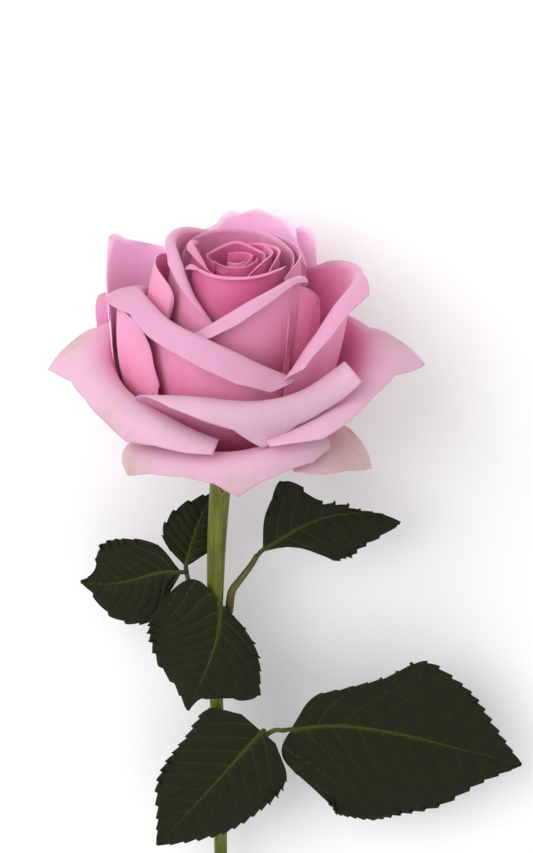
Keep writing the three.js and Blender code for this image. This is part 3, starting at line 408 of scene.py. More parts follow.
def curve(points, share):
    """Smooth curve through points, at shares from 0 to 1 of its length in spans."""
    p = np.asarray(points, float)
    p = np.vstack([2 * p[0] - p[1], p, 2 * p[-1] - p[-2]])
    spans = len(points) - 1
    x = np.clip(share * spans, 0, spans - 1e-9)
    i = x.astype(int)
    u = (x - i)[:, None]
    a, b, c, d = p[i], p[i + 1], p[i + 2], p[i + 3]
    return 0.5 * (2 * b + (c - a) * u + (2 * a - 5 * b + 4 * c - d) * u**2
                  + (3 * b - a - 3 * c + d) * u**3)


def smooth(x, low, high):
    """0 below low, 1 above high, smooth between."""
    t = np.clip((x - low) / (high - low), 0, 1)
    return t * t * (3 - 2 * t)


def ripple(u, v, seed):
    """A slow wave over a surface, about -1 to 1, the same each run: a few sines that run
    mostly along u."""
    sines, peak = 4, 2.6
    rng = np.random.RandomState(seed)
    total = 0
    for _ in range(sines):
        a, b, phase = rng.uniform(0.5, 1.6), rng.uniform(-0.8, 0.8), rng.uniform(0, 6.28)
        total = total + np.sin(a * u + b * v + phase)
    return total / peak


PER_SPAN, BODY_STEPS, ROLL_STEPS = 8, 30, 18    # points on a petal: across, up, in its roll
PETAL_FAN = 2.2                      # how low down a petal reaches its full spread
LEAST_ROLL = 0.02                    # the shortest rolled margin


def petal_grid(p, seed):
    """The petal's middle surface, and each point's place on it: millimetres across, height
    (0 at the foot, 1 at the crest, 2 at the end of the rolled margin) and the seed."""
    stations = np.array(p["rim"], float)
    spans = len(stations) - 1
    s = np.linspace(0, 1, spans * PER_SPAN + 1)
    crest = stations[:, :3].copy()
    crest[:, 0] = np.degrees(np.unwrap(np.radians(crest[:, 0])))
    az, r, z = curve(crest, s).T
    az = np.radians(az)
    k = np.linspace(0, 1, spans + 1)
    reach = np.maximum(np.interp(s, k, stations[:, 3]), LEAST_ROLL)
    turn = np.radians(np.interp(s, k, np.broadcast_to(p["turn"], spans + 1)))[:, None]

    foot = math.radians(p["az"])
    foot += 2 * math.pi * round((az.mean() - foot) / (2 * math.pi))
    way = 1 if az[-1] > az[0] else -1
    foot_az = foot + way * (s - 0.5) * 2 * (p["half"] / p["rb"])
    (a1, c1), (a2, c2) = p["side"]
    t = np.linspace(0, 1, BODY_STEPS)
    b1, b2, b3 = 3 * t * (1 - t)**2, 3 * t * t * (1 - t), t**3
    dr = (r - p["rb"])[:, None]
    out = p["rb"] + dr * (a1 * b1 + a2 * b2 + b3)
    up = z[:, None] * (c1 * b1 + c2 * b2 + b3)
    a = foot_az[:, None] + (az - foot_az)[:, None] * (1 - (1 - t)**PETAL_FAN)
    body = np.stack([out * np.sin(a), out * np.cos(a), up], -1)

    edge = body[:, -1]
    along = unit(np.gradient(edge, axis=0))
    rise = np.stack([dr[:, 0] * (1 - a2) * np.sin(az), dr[:, 0] * (1 - a2) * np.cos(az),
                     z * (1 - c2)], -1)
    on = unit(rise - (rise * along).sum(1)[:, None] * along)
    off = np.cross(on, along)
    # A petal's outer side looks outward where it stands and down where it lies flat.
    if (off * np.stack([np.sin(az), np.cos(az), -np.ones_like(az)], -1)).sum() < 0:
        off = -off
    length = reach[:, None] * np.linspace(0, 1, ROLL_STEPS + 1)[None, 1:]
    bend = np.minimum(length / p["roll"], turn)
    rest = np.maximum(length - p["roll"] * turn, 0)
    forward = p["roll"] * np.sin(bend) + rest * np.cos(turn)
    outward = p["roll"] * (1 - np.cos(bend)) + rest * np.sin(turn)
    margin = edge[:, None] + forward[..., None] * on[:, None] + outward[..., None] * off[:, None]
    grid = np.concatenate([body, margin], axis=1)

    width = np.concatenate([[0], np.cumsum(np.linalg.norm(np.diff(edge, axis=0), axis=1))])
    h = np.concatenate([t, 1 + np.linspace(0, 1, ROLL_STEPS + 1)[1:]])
    place = np.stack(np.broadcast_arrays(width[:, None], h[None, :], float(seed)), -1)
    return grid, place


def grid_normals(grid):
    """The way a grid faces at each of its points."""
    du = np.gradient(grid, axis=0)
    dv = np.gradient(grid, axis=1)
    return unit(np.cross(du, dv))


def roughen(grid, place, seed, size):
    """Slow waves in the petal and a finer flutter on its margin, along its normals."""
    slow_height, slow_length, slow_rows = 0.30, 6.0, 3.5
    flutter_height, flutter_length, flutter_rows, flutter_seed = 0.20, 2.2, 3.0, 90
    u, h = place[..., 0], place[..., 1]
    slow = slow_height * ripple(u / slow_length, h * slow_rows, seed) * smooth(h, 0.35, 1.0)
    flutter = flutter_height * ripple(
        u / flutter_length, h * flutter_rows, seed + flutter_seed) * smooth(h, 1.2, 2.0)
    return grid + grid_normals(grid) * ((slow + flutter) * size)[..., None]


def stain_masks(name, grid):
    """How green and how brown each point is, from the aged spots on the margin. Green fades
    slowly away from a spot, and brown keeps close to it."""
    green_fade, brown_fade = 0.8, 2
    green = np.zeros(grid.shape[:2])
    brown = np.zeros(grid.shape[:2])
    for station, reach, greenness, brownness in STAINS.get(name, []):
        spot = grid[station * PER_SPAN, -1]
        near = np.clip(1 - np.linalg.norm(grid - spot, axis=-1) / reach, 0, 1)
        green = np.maximum(green, greenness * near**green_fade)
        brown = np.maximum(brown, brownness * near**brown_fade)
    return green, brown


# ---- meshes ----
def grid_faces(rows, cols, closed=False):
    """The faces between a grid's points. A closed grid joins its last row to its first."""
    i = np.arange(rows * cols).reshape(rows, cols)
    if closed:
        i = np.vstack([i, i[:1]])
    return np.stack([i[:-1, :-1], i[1:, :-1], i[1:, 1:], i[:-1, 1:]], -1).reshape(-1, 4)


def add_mesh(name, points, faces, material):
    """A smooth-shaded object from points in the flower's own frame."""
    mesh = bpy.data.meshes.new(name)
    mesh.from_pydata(to_row(points).tolist(), [], [list(map(int, f)) for f in faces])
    mesh.polygons.foreach_set("use_smooth", [True] * len(mesh.polygons))
    mesh.materials.append(material)
    mesh.update()
    piece = bpy.data.objects.new(name, mesh)
    bpy.context.scene.collection.objects.link(piece)
    return piece


def write_attribute(piece, name, values):
    """A value or a vector at each point, for the shaders to read."""
    values = np.asarray(values, float)
    kind = "FLOAT" if values.ndim == 1 else "FLOAT_VECTOR"
    field = "value" if values.ndim == 1 else "vector"
    attribute = piece.data.attributes.new(name, kind, "POINT")
    attribute.data.foreach_set(field, values.astype(np.float32).ravel())


def sheet_mesh(grid, thickness):
    """A closed skin about a grid: its points and faces. Thickness may vary over the grid."""
    rows, cols = grid.shape[:2]
    half = grid_normals(grid) * (np.broadcast_to(thickness, (rows, cols)) / 2)[..., None]
    points = np.concatenate([(grid + half).reshape(-1, 3), (grid - half).reshape(-1, 3)])
    top = grid_faces(rows, cols)
    below = rows * cols
    i = np.arange(below).reshape(rows, cols)
    border = np.concatenate([i[:, 0], i[-1, 1:], i[-2::-1, -1], i[0, -2:0:-1]])
    ahead = np.roll(border, -1)
    rim = np.stack([ahead, border, border + below, ahead + below], -1)
    return points, np.concatenate([top[:, ::-1], top + below, rim[:, ::-1]]).tolist()


def stand_for(piece, node):
    """The piece rides with the flower in place of its CAD node."""
    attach(piece, "root")
    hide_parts(node)
    return piece


def rod_mesh(path, radii, sides, steps, slant=0.0):
    """A round rod along a smooth path: its points, its side faces, its two end faces, and
    each point's place: how far along, and the cosine and sine of its turn."""
    share = np.linspace(0, 1, steps)
    centre = curve(path, share)
    radius = np.interp(share, np.linspace(0, 1, len(radii)), radii)
    tangent = unit(np.gradient(centre, axis=0))
    x = unit(np.cross(tangent, [0, 0, 1]))
    y = np.cross(x, tangent)
    a = np.arange(sides) * 2 * math.pi / sides
    ring = (x[:, None] * np.cos(a)[None, :, None] + y[:, None] * np.sin(a)[None, :, None])
    points = centre[:, None] + ring * radius[:, None, None]
    points[-1] += tangent[-1] * (math.tan(slant) * radius[-1] * np.sin(a))[:, None]
    run = np.concatenate([[0], np.cumsum(np.linalg.norm(np.diff(centre, axis=0), axis=1))])
    place = np.stack(np.broadcast_arrays(run[:, None], np.cos(a)[None], np.sin(a)[None]), -1)
    faces = grid_faces(sides, steps, closed=True).tolist()
    points = points.transpose(1, 0, 2).reshape(-1, 3)
    place = place.transpose(1, 0, 2).reshape(-1, 3)
    ends = [[s * steps for s in range(sides)][::-1], [s * steps + steps - 1 for s in range(sides)]]
    return points, faces, ends, place


# ---- materials ----
def new_material(name):
    """A new material, its node tree and its shader."""
    material = bpy.data.materials.new(name)
    material.use_nodes = True
    tree = material.node_tree
    return material, tree, tree.nodes["Principled BSDF"]


def add_node(tree, kind, inputs=None, **settings):
    """A node with its settings made and its inputs linked or set."""
    made = tree.nodes.new(kind)
    for key, value in settings.items():
        setattr(made, key, value)
    for key, value in (inputs or {}).items():
        if isinstance(value, bpy.types.NodeSocket):
            tree.links.new(value, made.inputs[key])
        else:
            made.inputs[key].default_value = value
    return made


def blend(tree, factor, a, b):
    """Colour a where factor is 0, colour b where it is 1."""
    return add_node(tree, "ShaderNodeMix", {0: factor, 6: a, 7: b}, data_type="RGBA").outputs[2]


def remap(tree, value, low, high, to_low=0.0, to_high=1.0):
    """From to_low where value is low to to_high where it is high, smooth between."""
    inputs = {"Value": value, "From Min": low, "From Max": high, "To Min": to_low, "To Max": to_high}
    return add_node(tree, "ShaderNodeMapRange", inputs, interpolation_type="SMOOTHSTEP").outputs[0]


def math_node(tree, operation, a, b=0.0):
    return add_node(tree, "ShaderNodeMath", {0: a, 1: b}, operation=operation).outputs[0]


def noise(tree, vector, scale, detail=3.0, roughness=0.5):
    inputs = {"Vector": vector, "Scale": scale, "Detail": detail, "Roughness": roughness}
    return add_node(tree, "ShaderNodeTexNoise", inputs).outputs["Fac"]


def attribute(tree, name, output="Vector"):
    return add_node(tree, "ShaderNodeAttribute", attribute_name=name).outputs[output]


def grain(tree, place, per_mm, detail=3.0, roughness=0.5):
    """Noise over a place on the piece, as fine each way as per_mm says."""
    inputs = {"Vector": place, "Scale": per_mm}
    vector = add_node(tree, "ShaderNodeMapping", inputs).outputs["Vector"]
    return noise(tree, vector, 1.0, detail, roughness)


def bump(tree, shader, height, strength, distance_mm):
    inputs = {"Height": height, "Strength": strength, "Distance": distance_mm * MM}
    tree.links.new(add_node(tree, "ShaderNodeBump", inputs).outputs[0], shader.inputs["Normal"])


def set_shader(shader, **values):
    """Plain values straight onto the shader's own sockets, named with _ for a space."""
    for key, value in values.items():
        shader.inputs[key.replace("_", " ")].default_value = value


def petal_material(name, deep, body, pale):
    """Petal skin: deep colour low in the cup as painted shade, pale rolled margin as painted light,
    fine lengthwise veins, and green and brown where the margin has aged, the green partly painted shade."""
    material, tree, shader = new_material(name)
    place = attribute(tree, "petal_place")
    h = add_node(tree, "ShaderNodeSeparateXYZ", {0: place}).outputs[1]
    cloud = grain(tree, place, (0.10, 1.2, 1.0))
    veins = grain(tree, place, (1.7, 0.9, 1.0), 4.0, 0.6)
    fibres = grain(tree, place, (6.0, 2.2, 1.0), 2.0, 0.5)

    cloudy_h = math_node(tree, "ADD", h, remap(tree, cloud, 0.3, 0.7, -0.10, 0.10))
    # Painted shade: the colour is deep low in the cup and turns to the body colour towards the crest.
    out_of_cup_shade = remap(tree, cloudy_h, 0.30, 0.92)
    colour = blend(tree, out_of_cup_shade, deep, body)
    # Painted light: the rolled margin turns pale.
    roll_painted_light = remap(tree, cloudy_h, 0.93, 1.30)
    colour = blend(tree, roll_painted_light, colour, pale)
    in_veins = remap(tree, veins, 0.50, 0.74, 0.0, 0.26)
    colour = blend(tree, in_veins, colour, deep)
    between_fibres = remap(tree, fibres, 0.30, 0.50, 0.14, 0.0)
    colour = blend(tree, between_fibres, colour, pale)
    stain_noise = remap(tree, veins, 0.30, 0.62, 0.55, 1.0)
    green = math_node(tree, "MULTIPLY", attribute(tree, "green", "Fac"), stain_noise)
    brown = math_node(tree, "MULTIPLY", attribute(tree, "brown", "Fac"), stain_noise)
    # Aged green margins, their colour partly painted shade.
    colour = blend(tree, green, colour, AGED_GREEN_AND_SHADE)
    colour = blend(tree, brown, colour, STAIN_BROWN)
    tree.links.new(colour, shader.inputs["Base Color"])
    tree.links.new(remap(tree, veins, 0.3, 0.7, 0.50, 0.66), shader.inputs["Roughness"])
    set_shader(shader, Specular_IOR_Level=0.28, Sheen_Weight=0.18, Sheen_Roughness=0.45,
               Subsurface_Weight=0.22, Subsurface_Scale=0.004,
               Subsurface_Radius=(1.0, 0.32, 0.48))
    relief = math_node(tree, "ADD", veins, math_node(tree, "MULTIPLY", fibres, 0.35))
    bump(tree, shader, relief, 0.35, 0.22)
    return material


def leaf_material():
    """Dark leaf, hardly glossy: paler midrib and side veins, a net of fine veins and
    mottling between, browner at the rim."""
    material, tree, shader = new_material("leaf_skin")
    veins = attribute(tree, "vein", "Fac")
    rim = attribute(tree, "rim", "Fac")
    place = attribute(tree, "leaf_place")
    mottle = grain(tree, place, (0.25, 0.25, 1.0), 5.0, 0.6)
    cells = add_node(tree, "ShaderNodeTexVoronoi", {"Vector": place, "Scale": 1.15},
                     feature="DISTANCE_TO_EDGE").outputs["Distance"]
    net = remap(tree, cells, 0.0, 0.10, 1.0, 0.0)
    colour = blend(tree, remap(tree, mottle, 0.15, 0.85), LEAF_DARK, LEAF_LIGHT)
    colour = blend(tree, math_node(tree, "MULTIPLY", net, 0.10), colour, LEAF_VEIN)
    colour = blend(tree, remap(tree, veins, 0.15, 0.95, 0.0, 0.80), colour, LEAF_VEIN)
    colour = blend(tree, remap(tree, rim, 0.0, 1.0, 0.0, 0.35), colour, LEAF_RIM)
    tree.links.new(colour, shader.inputs["Base Color"])
    tree.links.new(remap(tree, mottle, 0.3, 0.7, 0.42, 0.58), shader.inputs["Roughness"])
    set_shader(shader, Specular_IOR_Level=0.13)
    relief = math_node(tree, "SUBTRACT", mottle, math_node(tree, "MULTIPLY", net, 0.5))
    bump(tree, shader, relief, 0.45, 0.25)
    return material


def stalk_material(name, base, light, dark, blush, blush_share):
    """Green skin with lengthwise streaks, fine dots, and a blush that comes and goes."""
    material, tree, shader = new_material(name)
    place = attribute(tree, "rod_place")
    streak = grain(tree, place, (0.035, 2.4, 2.4), 4.0, 0.6)
    patches = grain(tree, place, (0.06, 0.5, 0.5), 2.0)
    dots = grain(tree, place, (1.6, 5.0, 5.0), 2.0)
    colour = blend(tree, remap(tree, streak, 0.38, 0.64), base, light)
    colour = blend(tree, remap(tree, patches, 0.50, 0.75, 0.0, 0.6), colour, dark)
    colour = blend(tree, remap(tree, patches, 0.25, 0.55, blush_share, 0.0), colour, blush)
    colour = blend(tree, remap(tree, dots, 0.66, 0.74, 0.0, 0.4), colour, light)
    tree.links.new(colour, shader.inputs["Base Color"])
    tree.links.new(remap(tree, streak, 0.3, 0.7, 0.36, 0.52), shader.inputs["Roughness"])
    set_shader(shader, Specular_IOR_Level=0.25)
    relief = math_node(tree, "ADD", streak, math_node(tree, "MULTIPLY", dots, 0.4))
    bump(tree, shader, relief, 0.30, 0.20)
    return material


def pith_material():
    """The wet cut face of the stem: pale pith mottled with green, with fine pores."""
    material, tree, shader = new_material("stem_pith")
    spot = add_node(tree, "ShaderNodeTexCoord").outputs["Object"]
    pores = noise(tree, spot, 2600.0, 2.0)
    colour = blend(tree, remap(tree, pores, 0.4, 0.65), PITH_PALE, PITH_GREEN)
    tree.links.new(colour, shader.inputs["Base Color"])
    set_shader(shader, Roughness=0.55)
    bump(tree, shader, pores, 0.4, 0.15)
    return material


def floor_material():
    """Pale matte paper with a faint grain."""
    material, tree, shader = new_material("floor_paper")
    spot = add_node(tree, "ShaderNodeTexCoord").outputs["Object"]
    specks = noise(tree, spot, 900.0, 2.0)
    tree.links.new(blend(tree, specks, FLOOR_LOW, FLOOR_HIGH), shader.inputs["Base Color"])
    set_shader(shader, Roughness=0.9, Specular_IOR_Level=0.1)
    return material


# The green of aged petal margins is partly real colour and partly painted shade: it is darkened to the
# shaded look of the right guard petal, and every stain shares it.
AGED_GREEN_AND_SHADE = (0.42, 0.38, 0.22, 1)
STAIN_BROWN = (0.36, 0.19, 0.10, 1)
LEAF_DARK = (0.005, 0.007, 0.001, 1)
LEAF_LIGHT = (0.012, 0.016, 0.002, 1)
LEAF_VEIN = (0.050, 0.060, 0.008, 1)
LEAF_RIM = (0.022, 0.022, 0.007, 1)
PITH_PALE = (0.62, 0.62, 0.38, 1)
PITH_GREEN = (0.36, 0.42, 0.16, 1)
FLOOR_LOW = (0.90, 0.90, 0.90, 1)
FLOOR_HIGH = (0.94, 0.94, 0.94, 1)

PETAL_SKINS = {
    # The heart's skin is a darker copy of the petal skin: painted shade deep in the middle of the bloom.
    "petal_heart": petal_material(
        "heart_shaded_skin", (0.50, 0.035, 0.13, 1), (0.60, 0.12, 0.28, 1), (0.68, 0.22, 0.40, 1)),
    "petal_inner": petal_material(
        "inner_skin", (0.80, 0.15, 0.33, 1), (0.80, 0.28, 0.47, 1), (0.61, 0.295, 0.445, 1)),
    "petal_outer": petal_material(
        "outer_skin", (0.80, 0.18, 0.35, 1), (0.72, 0.31, 0.47, 1), (0.62, 0.36, 0.49, 1)),
}
# The petals that stand behind the others are lit through, so they look paler all over: painted light, a
# paler copy of the petal skin.
BACK_LIT_SKIN = petal_material(
    "back_lit_skin", (0.95, 0.42, 0.62, 1), (0.96, 0.56, 0.78, 1), (0.92, 0.58, 0.80, 1))
BACK_PETALS = {"standing_petal_left", "standing_petal_back", "standing_petal_back_right"}
LEAF_SKIN_MATERIAL = leaf_material()
STEM_MATERIAL = stalk_material(
    "stem_skin", (0.085, 0.100, 0.006, 1), (0.150, 0.165, 0.020, 1), (0.045, 0.055, 0.005, 1),
    (0.10, 0.07, 0.015, 1), 0.20)
STALK_MATERIAL = stalk_material(
    "stalk_skin", (0.055, 0.055, 0.009, 1), (0.100, 0.100, 0.018, 1), (0.030, 0.032, 0.007, 1),
    (0.085, 0.022, 0.010, 1), 0.65)
SEPAL_MATERIAL = stalk_material(
    "sepal_skin", (0.14, 0.19, 0.04, 1), (0.24, 0.29, 0.08, 1), (0.08, 0.11, 0.025, 1),
    (0.20, 0.10, 0.05, 1), 0.20)
PITH_MATERIAL = pith_material()


# ---- the bloom ----
HEART_UNEVEN, HEART_WAVE = 0.8, 4.0  # rise and fall of the rims at the heart, and its length
SEPAL_SEED, STEM_SEED, LEAF_SEED = 40, 7, 60     # where each begins its random draws
FULL_WAVE_FOOT = 7                   # petals with a smaller foot than this wave less
FOOT_THICK, THINNING = 1.25, 0.45    # a petal is thicker at its foot and thins to its margin


def build_petals():
    """Every petal, in the order of the table, which gives each its seed."""
    for seed, (node, shape) in enumerate(PETALS.items(), 1):
        grid, place = petal_grid(shape, seed)
        size = min(1.0, shape["rb"] / FULL_WAVE_FOOT)
        grid = roughen(grid, place, seed, size)
        if node.startswith("heart_petal"):
            uneven = HEART_UNEVEN * ripple(place[..., 0] / HEART_WAVE, place[..., 1] * 0, seed + 20)
            grid[..., 2] += uneven * smooth(place[..., 1], 0.6, 1.0)
        thickness = PETAL_SKIN * (FOOT_THICK - THINNING * smooth(place[..., 1], 0.2, 2.0))
        points, faces = sheet_mesh(grid, thickness)
        # The back petals take the paler skin of painted light.
        skin = BACK_LIT_SKIN if node in BACK_PETALS else PETAL_SKINS[SLOT_OF[node]]
        piece = add_mesh(node + "_skin", from_bloom(points), faces, skin)
        green, brown = stain_masks(node, grid)
        write_attribute(piece, "petal_place", np.tile(place.reshape(-1, 3), (2, 1)))
        write_attribute(piece, "green", np.tile(green.ravel(), 2))
        write_attribute(piece, "brown", np.tile(brown.ravel(), 2))
        stand_for(piece, node)


def build_hip():
    """The hip under the petals, with a shallow rib for each sepal."""
    rings, sides, ribs, rib_height = 26, 60, 5, 0.012
    profile = curve(HIP_PROFILE, np.linspace(0, 1, rings))
    grid = revolve(profile, sides)
    swell = 1 + rib_height * np.cos(ribs * np.arange(sides) * 2 * math.pi / sides)
    grid[..., :2] *= swell[None, :, None]
    points = grid.transpose(1, 0, 2).reshape(-1, 3)
    faces = grid_faces(sides, rings, closed=True).tolist()
    faces.append([s * rings for s in range(sides)][::-1])
    faces.append([s * rings + rings - 1 for s in range(sides)])
    piece = add_mesh("receptacle_skin", from_bloom(points), faces, STEM_MATERIAL)
    turn = np.repeat(np.arange(sides) * 2 * math.pi / sides, rings)
    write_attribute(piece, "rod_place", np.stack([points[:, 2], np.cos(turn), np.sin(turn)], -1))
    stand_for(piece, "receptacle")


def build_sepals():
    """Five sepals that spread under the petals, cupped, waved and keeled."""
    count, cup, wave, keel_depth, keel_width = 5, 0.5, 0.25, 0.45, 0.16
    path = [(HIP_RADIUS + 0.5, -2.2), (14.5, -2.6), (18.5, -2.2), (22.5, -1.6), (26, -1.8), (29.5, -3)]
    widths = np.array([2.4, 3.4, 3.6, 2.9, 1.8, 0.5])
    share = np.linspace(0, 1, 44)
    across = np.linspace(-1, 1, 13)
    for s in range(count):
        a = math.radians(360 / count * s)
        r, z = curve(path, share).T
        half = curve(widths[:, None], share)[:, 0]
        w = across[None, :] * half[:, None]
        waves = ripple(r[:, None] / 3, across[None] * 2, SEPAL_SEED + s)
        curl = cup * np.abs(across)[None] + wave * waves
        keel = -keel_depth * np.exp(-(across / keel_width)**2)[None] * (1 - share)[:, None]
        grid = np.stack([
            r[:, None] * math.sin(a) + w * math.cos(a),
            r[:, None] * math.cos(a) - w * math.sin(a),
            z[:, None] + curl + keel,
        ], -1)
        points, faces = sheet_mesh(grid, SEPAL_SKIN)
        node = f"sepal_{s + 1}"
        piece = add_mesh(node + "_skin", from_bloom(points), faces, SEPAL_MATERIAL)
        place = np.stack(np.broadcast_arrays(r[:, None], across[None], 0.0), -1).reshape(-1, 3)
        write_attribute(piece, "rod_place", np.tile(place, (2, 1)))
        stand_for(piece, node)


# ---- the stem ----
STEM_TOP = from_bloom([0, 0, -HIP_LENGTH - GAP])
STEM_RUN = float(np.linalg.norm(STEM_END - STEM_TOP))
NODE_SWELL, NODE_LENGTH, NODE_BELOW = 0.06, 3.2, 1.5     # the knot under each leaf
NECK_FLARE, NECK_LENGTH = 0.9, 1.6                       # where the stem meets the hip
SKIN_WAVE, CUT_CLEAR = 0.07, 3       # the skin is uneven, but true this near to the cut


def stem_radius(share):
    """The stem tapers below the hip and then keeps its radius."""
    return STEM_RADIUS + (STEM_END_RADIUS - STEM_RADIUS) * np.minimum(1, share * STEM_TAPER)


def on_stem(share):
    """The stem's middle, at a share of the way from the hip to the cut."""
    share = np.asarray(share)[..., None]
    bow = STEM_BOW * np.sin(2 * math.pi * share) * (1 - share)
    return STEM_TOP + (STEM_END - STEM_TOP) * share - bow * [1, 0, 0]


def leaf_base(leaf):
    """The point on the stem's skin where a leaf leaves it."""
    share = (FIRST_LEAF + leaf["below"]) / STEM_RUN
    return on_stem(share) + [leaf["side"] * float(stem_radius(share)), 0, 0]


def build_stem():
    """The stem, with a knot under each leaf, a flared neck and a slanted cut."""
    steps, sides, path_points = 220, 36, 15
    share = np.linspace(0, 1, steps)
    radii = stem_radius(share)
    for leaf in LEAVES:
        joint = (FIRST_LEAF + leaf["below"] + NODE_BELOW) / STEM_RUN
        radii = radii * (1 + NODE_SWELL * np.exp(-(((share - joint) * STEM_RUN) / NODE_LENGTH)**2))
    radii = radii + NECK_FLARE * np.exp(-share * STEM_RUN / NECK_LENGTH)
    path = on_stem(np.linspace(0, 1, path_points))
    points, faces, ends, place = rod_mesh(path, radii, sides, steps, CUT_SLANT)
    centre = np.tile(on_stem(share), (sides, 1))
    wobble = ripple(place[:, 0] / 9, place[:, 1] * 2.5 + place[:, 2], STEM_SEED)
    body = np.abs(place[:, 0] - STEM_RUN) > CUT_CLEAR
    points[body] += unit(points - centre)[body] * (SKIN_WAVE * wobble)[body, None]
    piece = add_mesh("stem_skin_piece", points, faces + ends, STEM_MATERIAL)
    piece.data.materials.append(PITH_MATERIAL)
    cut_face = len(faces) + 1
    piece.data.polygons[cut_face].material_index = 1
    write_attribute(piece, "rod_place", place)
    stand_for(piece, "stem")


# ---- the leaves ----
TOOTH_SPACING, TOOTH_DEPTH = 3.7, 0.95
TOOTH_STAGGER, TOOTH_LEAN = 0.45, 0.9    # right teeth against left, and how far they point on
LEAST_WIDTH = 0.12                       # of a blade's side, at its ends
VEIN_WIDTH, VEIN_STRENGTH = 0.30, 0.68
VEIN_PAIRS, VEIN_STAGGER = 9.5, 0.42     # along the blade, and right veins against left
VEIN_SLANT, VEIN_SWEEP = 0.62, 0.012     # side veins lean to the tip, and more so farther out
VEIN_SQUARE = 0.82                       # distance along the blade to distance off a vein
RIB_WIDTH, RIB_SWELL = 0.34, 0.75        # the midrib at the tip, and what the foot has more
BULGE, BULGE_EDGE = 0.30, 0.26           # the blade stands up between its veins
CREASE, CREASE_WIDTH = 0.45, 1.6         # and sinks along its midrib
MARGIN_WAVE, MARGIN_LENGTH = 0.9, 6.0


def leaf_shape(leaflet, base, seed):
    """A leaflet's middle surface with toothed edges, sunken veins and a waved margin. With
    it come each point's place, how near it is to a vein and to the rim, and the midrib."""
    steps, half = 240, 24
    s = np.linspace(0, 1, steps)
    rib = curve(np.array(leaflet["rib"], float) + base, s)
    run = np.concatenate([[0], np.cumsum(np.linalg.norm(np.diff(rib, axis=0), axis=1))])
    length = run[-1]
    across = unit(np.cross(np.gradient(rib, axis=0), [0, 0, 1]))
    forward = unit(np.gradient(rib, axis=0))
    v = np.linspace(-1, 1, 2 * half + 1)
    left, right = (np.maximum(curve(np.array(leaflet[side], float)[:, None], s)[:, 0], LEAST_WIDTH)
                   for side in ("left", "right"))
    width = np.where(v[None] < 0, left[:, None], right[:, None])
    bow = np.sin(math.pi * s)[:, None]
    lift = np.where(v[None] < 0, *leaflet["lift"]) * v[None]**2 * bow

    toothed = (smooth(s, 0.05, 0.16) * (1 - 0.55 * smooth(s, 0.80, 1.0)))[:, None]
    stagger = np.where(v[None] < 0, 0.0, TOOTH_STAGGER)
    tooth = np.mod(run[:, None] / TOOTH_SPACING + stagger, 1.0) - 0.55
    depth = np.minimum(TOOTH_DEPTH, width * 0.25)
    edge = np.abs(v)[None]**7 * toothed
    w = np.abs(v)[None] * width
    back = leaflet["lobe"] * np.sin(math.pi * np.maximum(v, 0))[None] \
        * (np.maximum(0, 1 - s * (len(leaflet["left"]) - 1) / 3)**2)[:, None]
    grid = (rib[:, None] + across[:, None] * (np.sign(v)[None] * (w + edge * tooth * depth))[..., None]
            + forward[:, None] * (edge * tooth * depth * TOOTH_LEAN - back)[..., None])
    grid[..., 2] += lift

    spacing = length / VEIN_PAIRS
    leaning = run[:, None] - VEIN_SLANT * w - VEIN_SWEEP * w * w
    q = leaning + np.where(v[None] < 0, 0.0, spacing * VEIN_STAGGER)
    off = np.abs(q - np.round(q / spacing) * spacing) * VEIN_SQUARE
    fade = (1 - smooth(np.abs(v), 0.80, 0.98))[None] * (1 - 0.4 * s)[:, None]
    side_vein = np.exp(-(off / VEIN_WIDTH)**2) * fade * VEIN_STRENGTH
    rib_width = RIB_WIDTH + RIB_SWELL * (1 - s)[:, None]**1.5
    midrib = np.exp(-(w / rib_width)**2) * (1 - 0.55 * s)[:, None]
    vein = np.maximum(side_vein, midrib)
    body = smooth(s, 0.0, 0.1)[:, None] * (1 - np.abs(v)**4)[None]
    bulge = (1 - np.exp(-(off / (spacing * BULGE_EDGE))**2)) * body * BULGE
    crease = np.exp(-(w / CREASE_WIDTH)**2) * CREASE * body
    sway = ripple(run[:, None] / MARGIN_LENGTH, np.sign(v)[None] * 1.3, seed)
    wave = MARGIN_WAVE * sway * v[None]**2 * bow
    upward = grid_normals(grid)
    upward = upward * np.sign(upward[..., 2].mean())
    grid = grid + upward * (bulge - crease + wave)[..., None]
    place = np.stack(np.broadcast_arrays(run[:, None], v[None] * width, float(seed)), -1)
    rim = np.broadcast_to(smooth(np.abs(v), 0.93, 1.0)[None], vein.shape)
    return grid, place, vein, rim, rib


def build_leaflet(node, leaflet, base, seed):
    """One leaflet: its blade, and its short stalk in the same piece."""
    midrib_drop, midrib_steps = 0.35, (0, 40, 90, 140, 190)
    joint_radius, midrib_radii = 0.75, [0.72, 0.55, 0.42, 0.30, 0.16]
    rod_vein = 0.9
    grid, place, vein, rim, rib = leaf_shape(leaflet, base, seed)
    points, faces = sheet_mesh(grid, LEAF_SKIN)
    # The leaflet's own short stalk runs on under the blade as its midrib.
    under = rib - np.array([0, 0, midrib_drop])
    joint = [np.array(p, float) + base for p in leaflet["joint"]]
    path = joint + [under[i] for i in midrib_steps]
    radii = [joint_radius] * len(joint) + midrib_radii
    rod, rod_faces, rod_ends, rod_place = rod_mesh(path, radii, sides=12, steps=90)
    first = len(points)
    faces = faces + [[i + first for i in f] for f in rod_faces + rod_ends]
    piece = add_mesh(node + "_skin", np.vstack([points, rod]), faces, LEAF_SKIN_MATERIAL)
    blade_place = np.tile(place.reshape(-1, 3), (2, 1))
    blade_vein = np.tile(vein.ravel(), 2)
    blade_rim = np.tile(rim.ravel(), 2)
    write_attribute(piece, "leaf_place", np.vstack([blade_place, rod_place]))
    write_attribute(piece, "vein", np.concatenate([blade_vein, np.full(len(rod), rod_vein)]))
    write_attribute(piece, "rim", np.concatenate([blade_rim, np.zeros(len(rod))]))
    stand_for(piece, node)


